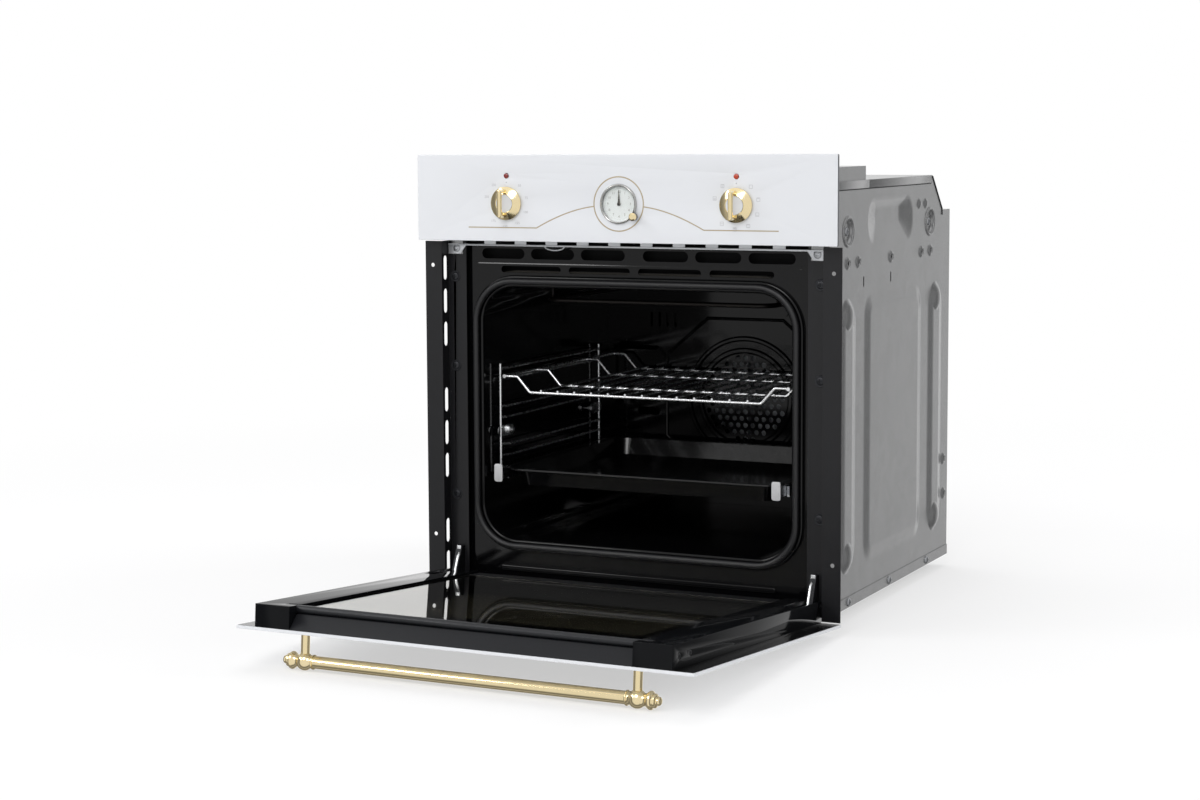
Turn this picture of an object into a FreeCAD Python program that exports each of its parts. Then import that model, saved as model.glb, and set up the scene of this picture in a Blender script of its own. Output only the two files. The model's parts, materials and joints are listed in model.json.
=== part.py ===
import FreeCAD, Part

import math
import os
import re
from types import SimpleNamespace

import Sketcher
from FreeCAD import Placement, Rotation, Vector

# Built-in oven with its door open, as it stands in a kitchen niche.
# Millimetres, X to the right, Y to the back, Z up, origin at the middle of the base's underside.

# Driving dimensions, one spreadsheet cell each
SIZES = {
    # Front of the oven
    "front_width": 595.0,
    "front_reach": 20.0,
    "front_drop": 3.0,
    "panel_height": 114.3,
    "panel_glass": 5.0,
    "glass_edge": 1.0,
    "door_height": 475.8,
    "door_gap": 3.3,
    # Casing of galvanised sheet
    "casing_width": 546.0,
    "casing_depth": 530.0,
    "casing_height": 554.5,
    "sheet": 1.0,
    "base_flange": 14.0,
    "rear_height": 504.0,
    "slope_start": 445.0,
    "slope_end": 494.0,
    # Pressed shapes of the side panels, measured from the cabinet plane and the base
    "field_at": 277.0,
    "field_height": 226.0,
    "field_long": 240.0,
    "field_tall": 354.0,
    "field_corner": 28.0,
    "field_rise": 2.4,
    "field_run": 18.0,
    "grip_at": 264.0,
    "grip_height": 498.5,
    "grip_long": 186.0,
    "grip_tall": 59.0,
    "grip_corner": 26.0,
    "grip_depth": 6.4,
    "grip_floor_long": 102.0,
    "grip_floor_tall": 17.0,
    "grip_floor_corner": 6.0,
    "grip_floor_lift": 8.5,
    "rib_front_at": 90.0,
    "rib_rear_at": 462.0,
    "rib_height": 224.5,
    "rib_long": 62.0,
    "rib_tall": 350.0,
    "rib_rise": 2.7,
    "rib_run": 16.5,
    "dimple_height": 44.5,
    "dimple_radius": 17.0,
    "dimple_depth": 3.0,
    "dimple_far": 172.0,
    "stud_hole_height": 449.0,
    "stud_hole_radius": 3.2,
    "stud_far": 174.0,
    "stud_near": 133.0,
    "slit_height": 422.0,
    "slit_tall": 14.0,
    "slit_wide": 4.0,
    "slit_step": 111.0,
    "base_screw_pitch": 166.0,
    "rear_slots": 8,
    "rear_slot_pitch": 18.0,
    "rear_slot_low": 120.0,
    "rear_slot_high": 64.0,
    "rear_slot_long": 60.0,
    # Front posts and fixing wings
    "post_sheet": 1.5,
    "post_depth": 18.0,
    "post_wall": 272.0,
    "post_inner": 245.0,
    "wing_outer": 297.0,
    "post_height": 474.0,
    "fixing_at": 286.0,
    "fixing_low": 73.0,
    "fixing_high": 441.5,
    "fixing_radius": 2.7,
    "slot_pitch": 45.0,
    "slot_count": 10,
    "slot_top": 437.5,
    "slot_long": 33.0,
    "slot_wide": 10.0,
    "screw_at": 262.0,
    "screw_high": 425.6,
    "screw_middle": 304.0,
    "screw_low": 127.5,
    "screw_head": 5.5,
    "screw_head_high": 2.6,
    "screw_shank": 2.0,
    "screw_long": 8.0,
    "screw_room": 0.1,
    "tab_at": 258.0,
    "tab_screw": 464.0,
    "tab_wide": 17.0,
    "tab_low": 456.0,
    # Cavity
    "opening_width": 444.0,
    "opening_height": 343.5,
    "opening_low": 69.0,
    "opening_corner": 48.0,
    "enamel": 1.2,
    "cavity_length": 424.0,
    "frame_depth": 27.0,
    "frame_height": 470.0,
    "frame_flange": 250.0,
    "lip_wide": 16.0,
    "lip_high": 6.0,
    "seal_radius": 4.1,
    "seal_room": 0.2,
    "vents": 3,
    "vent_tall": 14.0,
    "vent_height": 457.0,
    "vent_long": 64.0,
    "vent_pitch": 74.0,
    "vent_middle": 13.0,
    "low_vents": 2,
    "low_vent_tall": 9.0,
    "low_vent_height": 436.0,
    "low_vent_long": 89.0,
    "low_vent_pitch": 101.0,
    "low_vent_middle": 6.0,
    "rib_pair_low": 14.0,
    "rib_pair_high": 29.0,
    "rib_pair_long": 400.0,
    "rib_pair_wide": 8.0,
    "rib_pair_rise": 2.5,
    "wool": 20.0,
    "wool_room": 0.4,
    "heater_room": 18.0,
    # Rear baffle, convection fan and heaters
    "baffle_depth": 420.0,
    "fan_height": 227.5,
    "fan_cover": 92.0,
    "fan_ring": 84.0,
    "fan_ring_inner": 75.0,
    "fan_mesh": 66.0,
    "mesh_pitch": 11.5,
    "mesh_hole": 3.8,
    "baffle_step": 6.0,
    "ring_rise": 2.5,
    "stud_radius": 7.0,
    "stud_at": 60.0,
    "stud_height": 356.0,
    "outlet_wide": 12.0,
    "outlet_high": 300.0,
    "outlet_high_at": 176.0,
    "outlet_high_long": 74.0,
    "outlet_low": 202.0,
    "outlet_low_at": 155.0,
    "outlet_low_long": 36.0,
    "baffle_slits": 4,
    "baffle_slit_at": 111.0,
    "baffle_slit_pitch": 13.0,
    "baffle_slit_height": 340.0,
    "baffle_slit_tall": 22.0,
    "fan_radius": 62.0,
    "fan_hub": 18.0,
    "fan_disc": 1.5,
    "fan_front": 8.0,
    "fan_blade_deep": 16.0,
    "fan_blades": 8,
    "fan_shaft": 4.0,
    "shaft_room": 0.05,
    "motor_radius": 34.0,
    "motor_long": 40.0,
    "heater_tube": 3.25,
    "heater_lead": 20.0,
    "ring_heater": 88.0,
    "ring_gap": 24.0,
    "grill_drop": 22.0,
    "grill_width": 330.0,
    "grill_length": 300.0,
    "grill_bend": 24.0,
    "lead_spread": 55.0,
    "lamp_at": 165.0,
    "lamp_height": 362.0,
    "lamp_radius": 25.0,
    "lamp_rim": 5.0,
    "lamp_socket": 60.0,
    # Side racks, shelf and tray
    "rack_plane": 215.0,
    "rack_inner": 208.0,
    "rack_front": 57.0,
    "rack_long": 315.0,
    "rack_frame": 2.0,
    "rack_wire": 1.5,
    "rack_top": 283.5,
    "rack_levels": 3,
    "rack_pitch": 52.7,
    "rack_pair": 14.8,
    "rack_low": 161.5,
    "rack_bend": 6.0,
    "nut_height": 211.0,
    "nut_inset": 25.0,
    "nut_radius": 7.5,
    "nut_stud": 2.5,
    "shelf_half": 206.0,
    "shelf_rod": 2.5,
    "shelf_cross": 2.2,
    "shelf_wire": 1.5,
    "shelf_drop": 21.0,
    "shelf_shoulder": 187.0,
    "shelf_basin": 168.0,
    "shelf_front": 54.0,
    "shelf_long": 350.0,
    "shelf_inset": 94.0,
    "shelf_wires": 6,
    "shelf_pitch": 25.0,
    "slide_room": 0.4,
    "runner_inner": 199.5,
    "runner_wall": 3.0,
    "runner_outer_wall": 3.2,
    "runner_low": 147.0,
    "runner_tall": 14.0,
    "runner_top": 163.0,
    "runner_long": 345.0,
    "runner_ahead": 4.5,
    "runner_lift": 2.0,
    "runner_gap": 0.5,
    "stop_wide": 12.0,
    "stop_tall": 24.0,
    "tray_rim": 205.0,
    "tray_half": 190.0,
    "tray_taper": 8.0,
    "tray_tall": 24.0,
    "tray_front": 29.0,
    "tray_long": 372.0,
    "tray_sheet": 1.2,
    "tray_corner": 22.0,
    # Control panel
    "knob_at": 163.0,
    "knob_rise": 50.0,
    "knob_radius": 22.0,
    "knob_skirt": 2.0,
    "knob_cone": 7.0,
    "knob_face": 11.5,
    "grip_bar_long": 37.0,
    "grip_bar_wide": 6.5,
    "grip_bar_high": 22.0,
    "knob_room": 0.6,
    "knob_shaft": 3.0,
    "knob_hole": 5.0,
    "lamp_rise": 86.3,
    "lens_radius": 3.25,
    "lens_high": 1.6,
    "lens_room": 0.2,
    "clock_rise": 50.4,
    "clock_bezel": 26.0,
    "clock_glass": 23.0,
    "bezel_high": 3.0,
    "dial_drop": 2.0,
    "dial_sheet": 1.0,
    "movement_wide": 64.0,
    "movement_deep": 20.0,
    "hand_sheet": 0.5,
    "hand_wide": 1.4,
    "hand_deep": 8.0,
    "hand_room": 0.4,
    "minute_long": 18.5,
    "hour_long": 12.5,
    "hand_tube": 2.2,
    "hand_arbor": 1.3,
    "clock_knob_x": 24.0,
    "clock_knob_drop": 16.0,
    "clock_knob": 5.0,
    "clock_knob_long": 8.0,
    "clock_shaft": 1.5,
    "carrier_height": 96.4,
    "carrier_depth": 162.0,
    "carrier_rise": 6.0,
    "carrier_flange": 34.0,
    "strip_depth": 36.0,
    "strip_slots": 3,
    "strip_slot_long": 44.0,
    "strip_slot_wide": 12.0,
    "strip_slot_pitch": 60.0,
    "control_wide": 42.0,
    "control_tall": 46.0,
    "control_deep": 34.0,
    # Cooling fan above the cavity
    "duct_height": 32.5,
    "blower_y": 40.0,
    "blower_radius": 68.0,
    "blower_tall": 56.0,
    "blower_wall": 1.5,
    "blower_inlet": 46.0,
    "blower_motor": 18.0,
    "blower_motor_tall": 12.0,
    "duct_short": 60.0,
    "wheel_radius": 58.0,
    "wheel_tall": 36.0,
    "wheel_blade": 12.0,
    "wheel_lift": 6.0,
    "wheel_blades": 24,
    # Terminal box on the rear ledge
    "terminal_x": -190.0,
    "terminal_wide": 70.0,
    "terminal_deep": 32.0,
    "terminal_tall": 34.0,
    "gland_radius": 6.5,
    "gland_wall": 3.0,
    # Door
    "door_open": 85.4,
    "door_glass": 4.0,
    "door_half": 271.0,
    "door_thick": 28.0,
    "stile_wide": 48.0,
    "stile_gap": 0.5,
    "inner_glass": 4.0,
    "inner_recess": 3.0,
    "rail_low": 26.0,
    "rail_top": 34.0,
    "rail_slope": 17.0,
    "bead_radius": 5.0,
    "bead_seat": 16.0,
    "hinge_back": 8.8,
    "hinge_rise": 10.4,
    "hinge_at": 256.5,
    "hinge_pin": 4.0,
    "hinge_eye": 7.0,
    "arm_thick": 8.0,
    "arm_top": 56.0,
    "arm_foot": 24.0,
    "hook_thick": 4.0,
    "hook_drop": 4.0,
    "cassette_wide": 15.0,
    "cassette_tall": 78.0,
    "cassette_wall": 1.5,
    "cassette_skin": 1.0,
    "side_screw_radius": 3.6,
    "side_screw_deep": 2.8,
    "side_screw_first": 20.0,
    "side_screw_pitch": 31.0,
    # Handle
    "handle_off": 40.0,
    "handle_height": 445.7,
    "handle_at": 217.5,
    "handle_bar": 7.7,
    "handle_post": 5.5,
    "handle_foot": 7.6,
    "handle_foot_high": 2.0,
    "handle_ball": 11.0,
    "handle_collar": 9.0,
    "handle_neck": 8.2,
    "handle_ring": 10.8,
    "handle_nose": 5.2,
    "handle_step": 2.4,
    "handle_tip": 29.5,
}

doc = FreeCAD.newDocument("Oven")
sheet = doc.addObject("Spreadsheet::Sheet", "Sizes")
for row, (alias, value) in enumerate(SIZES.items(), start=1):
    sheet.set(f"A{row}", alias)
    sheet.set(f"B{row}", str(value))
    sheet.setAlias(f"B{row}", alias)
doc.recompute()

# The same cells as numbers, for shapes and places worked out in code
at = SimpleNamespace(**{alias: float(sheet.get(alias)) for alias in SIZES})

# Planes and lines that several pieces share, as spreadsheet expressions
FRONT = "(-casing_depth / 2)"
FACE = "(-casing_depth / 2 - front_reach)"
PANEL_LOW = "(door_height + door_gap - front_drop)"
PANEL_BACK = "(-casing_depth / 2 - front_reach + panel_glass)"
KNOB_LINE = "(door_height + door_gap - front_drop + knob_rise)"
SIDE_OUT = "(casing_width / 2 - sheet)"
SIDE_IN = "(casing_width / 2 - 2 * sheet)"
POST_FACE = "(-casing_depth / 2 + post_depth)"
POST_BACK = "(-casing_depth / 2 + post_depth + post_sheet)"
FRAME_FACE = "(-casing_depth / 2 + frame_depth)"
FRAME_BACK = "(-casing_depth / 2 + frame_depth + enamel)"
CAVITY_TOP = "(opening_low + opening_height)"
DUCT_LINE = "(opening_low + opening_height + duct_height)"
DIMPLE_LINE = "(opening_low + opening_height + duct_height + dimple_height)"
CARRIER_TOP = "(door_height + door_gap - front_drop + carrier_height)"
CAVITY_BACK = "(-casing_depth / 2 + frame_depth + enamel + cavity_length)"
BAFFLE_FACE = "(-casing_depth / 2 + baffle_depth)"
DOOR_BACK = "(-casing_depth / 2 - front_reach + door_glass)"
DOOR_FACE = "(-casing_depth / 2 - front_reach + door_glass + door_thick)"
STILE_IN = "(door_half - stile_wide)"

# The same planes as numbers
front = -at.casing_depth / 2
face = front - at.front_reach
panel_low = at.door_height + at.door_gap - at.front_drop
knob_line = panel_low + at.knob_rise
side_out = at.casing_width / 2 - at.sheet
post_face = front + at.post_depth
frame_face = front + at.frame_depth
cavity_top = at.opening_low + at.opening_height
duct_line = cavity_top + at.duct_height
dimple_line = duct_line + at.dimple_height
cavity_back = frame_face + at.enamel + at.cavity_length
baffle_face = front + at.baffle_depth
hinge_y = face + at.door_glass + at.hinge_back
hinge_z = at.hinge_rise - at.front_drop

WORDS = re.compile(r"\b(" + "|".join(SIZES) + r")\b")
pieces = []

# Body orientations: a turned body's axis or a pressed body's plate points this way
AIM = {
    "up": Rotation(),
    "front": Rotation(Vector(1, 0, 0), 90),
    "back": Rotation(Vector(1, 0, 0), -90),
    "right": Rotation(Vector(0, 1, 0), 90),
    "left": Rotation(Vector(0, 1, 0), -90),
    "side": Rotation(Vector(1, 1, 1), 120),
    "upright": Rotation(Vector(1, 1, 1), 240),
}


def bind(obj, prop, expression):
    """Ties a property to the sizes named in an expression."""
    obj.setExpression(prop, WORDS.sub(r"Sizes.\1", str(expression)))


def place(obj, spot, aim="up"):
    """Turns an object and ties its place to three expressions."""
    obj.Placement = Placement(Vector(), AIM[aim])
    for axis, expression in zip("xyz", spot):
        bind(obj, f"Placement.Base.{axis}", expression)


def keep(obj, label):
    """Marks an object as a finished sub-part."""
    obj.Label = label
    pieces.append(obj)
    return obj


def block(size, corner, name="block"):
    """A box with its size and lowest corner tied to expressions."""
    obj = doc.addObject("Part::Box", name)
    for prop, expression in zip(("Length", "Width", "Height"), size):
        bind(obj, prop, expression)
    place(obj, corner)
    return obj


def rod(radius, length, start, aim="front", name="rod"):
    """A cylinder that starts at a point and runs along its aim."""
    obj = doc.addObject("Part::Cylinder", name)
    bind(obj, "Radius", radius)
    bind(obj, "Height", length)
    place(obj, start, aim)
    return obj


def solid(shape, name="shape"):
    """A computed shape as an object of the document."""
    obj = doc.addObject("Part::Feature", name)
    obj.Shape = shape
    return obj


def join(*parts):
    """Several objects as one solid."""
    obj = doc.addObject("Part::MultiFuse", "joined")
    obj.Shapes = list(parts)
    obj.Refine = True
    return obj


def cut(base, *tools):
    """An object with others taken out of it."""
    tool = tools[0]
    if len(tools) > 1:
        tool = doc.addObject("Part::Compound", "tools")
        tool.Links = list(tools)
    obj = doc.addObject("Part::Cut", "cut")
    obj.Base = base
    obj.Tool = tool
    obj.Refine = True
    return obj


def group(*parts):
    """Several separate solids as one object."""
    obj = doc.addObject("Part::Compound", "group")
    obj.Links = list(parts)
    return obj


def mirrored(source):
    """The same piece for the other side of the oven."""
    obj = doc.addObject("Part::Mirroring", "mirrored")
    obj.Source = source
    obj.Normal = Vector(1, 0, 0)
    return obj


def pair(source, name):
    """A right-hand piece and its left-hand twin."""
    keep(source, f"{name}_right")
    keep(mirrored(source), f"{name}_left")


def outline(body, plane, corners):
    """A closed sketch of straight lines with every corner tied to two expressions."""
    sketch = body.newObject("Sketcher::SketchObject", body.Name + "Outline")
    origin_plane = next(f for f in body.Origin.OriginFeatures if f.Role == plane)
    sketch.AttachmentSupport = [(origin_plane, "")]
    sketch.MapMode = "FlatFace"
    count = len(corners)
    rough = [
        Vector(math.cos(2 * math.pi * i / count), math.sin(2 * math.pi * i / count), 0)
        for i in range(count)
    ]
    for i in range(count):
        sketch.addGeometry(Part.LineSegment(rough[i], rough[(i + 1) % count]), False)
    for i in range(count):
        sketch.addConstraint(Sketcher.Constraint("Coincident", i, 2, (i + 1) % count, 1))
    for i, spot in enumerate(corners):
        for kind, expression in zip(("DistanceX", "DistanceY"), spot):
            number = sketch.addConstraint(Sketcher.Constraint(kind, -1, 1, i, 1, 1.0))
            bind(sketch, f"Constraints[{number}]", expression)
    return sketch


def turned(profile, spot, aim="front"):
    """A round piece: a half profile of radius and height, turned about its axis."""
    body = doc.addObject("PartDesign::Body", "turned")
    sketch = outline(body, "XZ_Plane", profile)
    turn = body.newObject("PartDesign::Revolution", "Turn")
    turn.Profile = sketch
    turn.ReferenceAxis = (sketch, ["V_Axis"])
    turn.Angle = 360
    place(body, spot, aim)
    return body


def rounded(body, base, radius, chosen):
    """Rounds the edges of a body that a test chooses."""
    doc.recompute()
    names = [f"Edge{i}" for i, edge in enumerate(base.Shape.Edges, start=1) if chosen(edge)]
    rounding = body.newObject("PartDesign::Fillet", "Rounding")
    rounding.Base = (base, names)
    bind(rounding, "Radius", radius)
    return rounding


def pressed(corners, thick, spot=("0", "0", "0"), aim="front", radius=None, edge=None):
    """A flat piece: an outline padded to its thickness, corners and front rim rounded if asked."""
    body = doc.addObject("PartDesign::Body", "pressed")
    sketch = outline(body, "XY_Plane", corners)
    top = body.newObject("PartDesign::Pad", "Press")
    top.Profile = sketch
    bind(top, "Length", thick)
    if radius:
        top = rounded(body, top, radius, lambda e: abs(e.tangentAt(e.FirstParameter).z) > 0.99)
    if edge:
        doc.recompute()
        rim = top.Shape.BoundBox.ZMax
        top = rounded(body, top, edge, lambda e: e.BoundBox.ZMin > rim - 0.01)
    place(body, spot, aim)
    return body


def rectangle(wide, low, high):
    """Corners of a rectangle that is centred across and runs from low to high."""
    return [
        (f"-({wide}) / 2", low),
        (f"({wide}) / 2", low),
        (f"({wide}) / 2", high),
        (f"-({wide}) / 2", high),
    ]


def obround(long, wide, deep):
    """A slot-shaped prism centred on the origin, long along X and deep along Z."""
    run = long - wide
    shape = Part.makeBox(run, wide, deep, Vector(-run / 2, -wide / 2, -deep / 2))
    for end in (-run / 2, run / 2):
        shape = shape.fuse(Part.makeCylinder(wide / 2, deep, Vector(end, 0, -deep / 2)))
    return shape.removeSplitter()


def slots(spots, long, wide, deep, rotation):
    """Slot-shaped cutters at several places."""
    shapes = []
    for spot in spots:
        shape = obround(long, wide, deep)
        shape.Placement = Placement(Vector(*spot), rotation)
        shapes.append(shape)
    return solid(Part.makeCompound(shapes), "slots")


def rounded_wire(wide, tall, radius):
    """A rectangle with round corners in the XY plane, centred on the origin."""
    x, y = wide / 2, tall / 2
    r = min(radius, 0.49 * wide, 0.49 * tall)
    edges = []
    corners = [(x - r, y - r, 0), (r - x, y - r, 90), (r - x, r - y, 180), (x - r, r - y, 270)]
    for i, (cx, cy, start) in enumerate(corners):
        circle = Part.Circle(Vector(cx, cy, 0), Vector(0, 0, 1), r)
        edges.append(Part.Arc(circle, math.radians(start), math.radians(start + 90)).toShape())
    count = len(edges)
    lines = [
        Part.makeLine(edges[i].valueAt(edges[i].LastParameter),
                      edges[(i + 1) % count].valueAt(edges[(i + 1) % count].FirstParameter))
        for i in range(count)
    ]
    return Part.Wire(Part.__sortEdges__(edges + lines))


def frustum(wide, tall, radius, draft, bottom, top):
    """A drafted block from bottom to top along Z, smaller at the bottom by its draft."""
    low = rounded_wire(wide - 2 * draft, tall - 2 * draft, max(radius - draft, 1))
    high = rounded_wire(wide, tall, radius)
    low.translate(Vector(0, 0, bottom))
    high.translate(Vector(0, 0, top))
    return Part.makeLoft([low, high], True, True)


def bent_path(points, bend):
    """Straight runs joined by tangent arcs of one bend radius."""
    spots = [Vector(*p) for p in points]
    edges = []
    start = spots[0]
    for before, corner, after in zip(spots, spots[1:], spots[2:]):
        back = (before - corner).normalize()
        ahead = (after - corner).normalize()
        half = back.getAngle(ahead) / 2
        reach = bend / math.tan(half)
        middle = (back + ahead).normalize()
        centre = corner + middle * (bend / math.sin(half))
        arc_in = corner + back * reach
        arc_out = corner + ahead * reach
        edges.append(Part.LineSegment(start, arc_in).toShape())
        edges.append(Part.Arc(arc_in, centre - middle * bend, arc_out).toShape())
        start = arc_out
    edges.append(Part.LineSegment(start, spots[-1]).toShape())
    return Part.Wire(edges)


def bent_wire(points, radius, bend):
    """A round wire along straight runs and bends."""
    path = bent_path(points, bend)
    first = path.Edges[0]
    start = first.valueAt(first.FirstParameter)
    ring = Part.Wire(Part.makeCircle(radius, start, first.tangentAt(first.FirstParameter)))
    return path.makePipeShell([ring], True, False)


def straight_wire(start, end, radius):
    """A straight round wire between two points."""
    a, b = Vector(*start), Vector(*end)
    return Part.makeCylinder(radius, (b - a).Length, a, b - a)


def fused(shapes):
    """Shapes welded into one solid."""
    return shapes[0].multiFuse(shapes[1:]).removeSplitter()


# Base pan of the casing, with upturned side flanges that the side panels stand in
CASE_LONG = "(casing_depth - post_depth - post_sheet)"
base_floor = block(("casing_width", CASE_LONG, "sheet"), ("-casing_width / 2", POST_BACK, "0"))
base_sides = [
    block(("sheet", CASE_LONG, "base_flange"), (corner, POST_BACK, "0"))
    for corner in ("-casing_width / 2", SIDE_OUT)
]
base_screw_spots = [
    front + at.grip_at + step * at.base_screw_pitch for step in (-1, 0, 1)
]
base_holes = [
    rod("screw_shank + screw_room", "casing_width + 2 * sheet",
        ("-casing_width / 2 - sheet", spot, "base_flange / 2"), "right")
    for spot in base_screw_spots
]
keep(cut(join(base_floor, *base_sides), *base_holes), "base_panel")


def pressing(along, height, outline, floor, rise, lift=0):
    """The metal and the hollow of a shape pressed into the right side panel, outwards for a positive rise."""
    rim = rounded_wire(*outline)
    top = rounded_wire(*floor)
    top.translate(Vector(0, lift, rise))
    outer = Part.makeLoft([rim, top] if rise > 0 else [top, rim], True, True)
    inner = outer.copy()
    inner.translate(Vector(0, 0, -at.sheet))
    metal, hollow = (outer, inner) if rise > 0 else (inner, outer)
    mouth = Part.Face(rounded_wire(*outline)).extrude(Vector(0, 0, at.sheet))
    if rise > 0:
        mouth.translate(Vector(0, 0, -2 * at.sheet))
    hollow = hollow.fuse(mouth)
    seat = Placement(Vector(side_out, front + along, height), AIM["side"])
    for shape in (metal, hollow):
        shape.Placement = seat.multiply(shape.Placement)
    return solid(metal, "metal"), solid(hollow, "hollow")


def drafted(wide, tall, corner, run):
    """The outline of a drafted pressing and that of its floor, smaller by the run of its slopes."""
    return (wide, tall, corner), (wide - 2 * run, tall - 2 * run, max(corner - run, 1))


# Side panels: one bent sheet each, with a raised field and ribs, sunk dimples and a shallow hand grip
side_sheet = pressed(
    [
        (POST_BACK, "sheet"),
        ("casing_depth / 2 - sheet", "sheet"),
        ("casing_depth / 2 - sheet", "rear_height"),
        (FRONT + " + slope_end", "rear_height"),
        (FRONT + " + slope_start", "casing_height"),
        (POST_BACK, "casing_height"),
    ],
    "sheet", (SIDE_IN, "0", "0"), "side",
)
dimple_spots = [at.grip_at - at.dimple_far, at.grip_at + at.dimple_far]
pressings = [
    pressing(at.field_at, at.field_height,
             *drafted(at.field_long, at.field_tall, at.field_corner, at.field_run), at.field_rise),
    pressing(at.grip_at, at.grip_height, (at.grip_long, at.grip_tall, at.grip_corner),
             (at.grip_floor_long, at.grip_floor_tall, at.grip_floor_corner),
             -at.grip_depth, at.grip_floor_lift),
]
for spot in (at.rib_front_at, at.rib_rear_at):
    rib = drafted(at.rib_long, at.rib_tall, at.rib_long / 2, at.rib_run)
    pressings.append(pressing(spot, at.rib_height, *rib, at.rib_rise))
for spot in dimple_spots:
    dish = drafted(2 * at.dimple_radius, 2 * at.dimple_radius, at.dimple_radius, at.dimple_depth)
    pressings.append(pressing(spot, dimple_line, *dish, -at.dimple_depth))
stud_spots = [
    at.grip_at + step for step in (-at.stud_far, -at.stud_near, 0, at.stud_near, at.stud_far)
]
side_holes = [
    rod("stud_hole_radius", "3 * sheet", (SIDE_IN + " - sheet", front + spot, "stud_hole_height"), "right")
    for spot in stud_spots
]
side_holes += [
    rod("screw_shank + screw_room", "dimple_depth + 4 * sheet",
        (SIDE_IN + " - dimple_depth - 2 * sheet", front + spot, DIMPLE_LINE), "right")
    for spot in dimple_spots
]
side_holes += [
    rod("screw_shank + screw_room", "3 * sheet", (SIDE_IN + " - sheet", spot, "base_flange / 2"), "right")
    for spot in base_screw_spots
]
side_holes.append(slots(
    [(side_out, front + at.grip_at + step, at.slit_height) for step in (-at.slit_step, 0)],
    at.slit_tall, at.slit_wide, 4 * at.sheet, AIM["left"],
))
side_metal = join(side_sheet, *[metal for metal, hollow in pressings])
pair(cut(side_metal, *[hollow for metal, hollow in pressings], *side_holes), "side_panel")

# Rear panel with two rows of cooling slots
rear_sheet = pressed(rectangle(f"2 * {SIDE_OUT}", "sheet", "rear_height"), "sheet",
                     ("0", "casing_depth / 2", "0"))
rear_slots = slots(
    [
        (side * (step + 0.5) * at.rear_slot_pitch, -front, height)
        for side in (-1, 1)
        for step in range(int(at.rear_slots))
        for height in (at.rear_slot_low, at.rear_height - at.rear_slot_high)
    ],
    at.rear_slot_long, at.slit_wide, 4 * at.sheet, AIM["upright"],
)
keep(cut(rear_sheet, rear_slots), "rear_panel")

# Top cover: level sheet that slopes down to the rear ledge
top_back = "casing_depth / 2"
top_front = FRONT + " + carrier_depth"
keep(pressed(
    [
        (top_front, "casing_height - sheet"),
        (FRONT + " + slope_start", "casing_height - sheet"),
        (FRONT + " + slope_end", "rear_height - sheet"),
        (top_back + " - sheet", "rear_height - sheet"),
        (top_back + " - sheet", "rear_height"),
        (FRONT + " + slope_end", "rear_height"),
        (FRONT + " + slope_start", "casing_height"),
        (top_front, "casing_height"),
    ],
    f"2 * {SIDE_IN}", (f"-{SIDE_IN}", "0", "0"), "side",
), "top_cover")

# Front posts: wing on the cabinet, return wall with slots, recessed plate behind the door edge
post_sheet = pressed(
    [
        ("wing_outer", FRONT + " - post_sheet"),
        ("wing_outer", FRONT),
        ("post_wall + post_sheet", FRONT),
        ("post_wall + post_sheet", POST_BACK),
        ("post_inner", POST_BACK),
        ("post_inner", POST_BACK + " - post_sheet"),
        ("post_wall", POST_BACK + " - post_sheet"),
        ("post_wall", FRONT + " - post_sheet"),
    ],
    "post_height", ("0", "0", "0"), "up",
)
fixing_holes = [
    rod("fixing_radius", "4 * post_sheet", ("fixing_at", FRONT + " + post_sheet", height), "front")
    for height in ("fixing_low", "fixing_high")
]
SCREW_HEIGHTS = ("screw_high", "screw_middle", "screw_low")
post_screw_holes = [
    rod("screw_shank + screw_room", "frame_depth", (f"{side} * {across}", FRAME_FACE, height))
    for side in (-1, 1)
    for across, height in (("screw_at", "screw_high"), ("screw_at", "screw_middle"),
                           ("screw_at", "screw_low"), ("tab_at", "tab_screw"))
]
slot_heights = [at.slot_top - step * at.slot_pitch for step in range(int(at.slot_count))]
post_slots = slots(
    [
        (at.post_wall, front + at.post_depth / 2, height)
        for height in slot_heights
        if min(abs(height - getattr(at, screw)) for screw in SCREW_HEIGHTS) > at.slot_wide
    ],
    at.slot_long, at.slot_wide, 4 * at.post_sheet, AIM["left"],
)
tongue_slot = block(
    ("arm_thick + 2 * slide_room", "frame_depth", "arm_top - arm_foot"),
    ("hinge_at - arm_thick / 2 - slide_room", FRONT, "arm_foot"),
)
pair(cut(post_sheet, *fixing_holes, *post_screw_holes, post_slots, tongue_slot), "front_post")

# Cavity front frame: enamelled plate with the oven mouth, its raised lip and cooling vents
frame_plate = pressed(rectangle("2 * frame_flange", "sheet", "frame_height"), "enamel",
                      ("0", FRAME_BACK, "0"))
frame_lip = pressed(
    rectangle("opening_width + 2 * lip_wide", "opening_low - lip_wide", CAVITY_TOP + " + lip_wide"),
    "lip_high", ("0", FRAME_FACE, "0"), "front", "opening_corner + lip_wide",
)
frame_steps = []
for corner, flange in (("frame_flange - enamel", "frame_flange - enamel"), ("-frame_flange", f"-{SIDE_IN}")):
    frame_steps.append(block(("enamel", f"{FRAME_BACK} - {POST_BACK}", "frame_height - sheet"),
                             (corner, POST_BACK, "sheet")))
    frame_steps.append(block((f"{SIDE_IN} - frame_flange + enamel", "enamel", "frame_height - sheet"),
                             (flange, POST_BACK, "sheet")))
frame_ribs = []
for height in (at.rib_pair_low, at.rib_pair_high):
    rib = obround(at.rib_pair_long, at.rib_pair_wide, at.rib_pair_rise + at.enamel)
    middle = frame_face + (at.enamel - at.rib_pair_rise) / 2
    rib.Placement = Placement(Vector(0, middle, height), AIM["front"])
    frame_ribs.append(solid(rib, "rib"))
oven_mouth = pressed(
    rectangle("opening_width", "opening_low", CAVITY_TOP),
    "2 * lip_high + 2 * enamel", ("0", FRAME_BACK + " + enamel", "0"), "front", "opening_corner",
)
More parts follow.
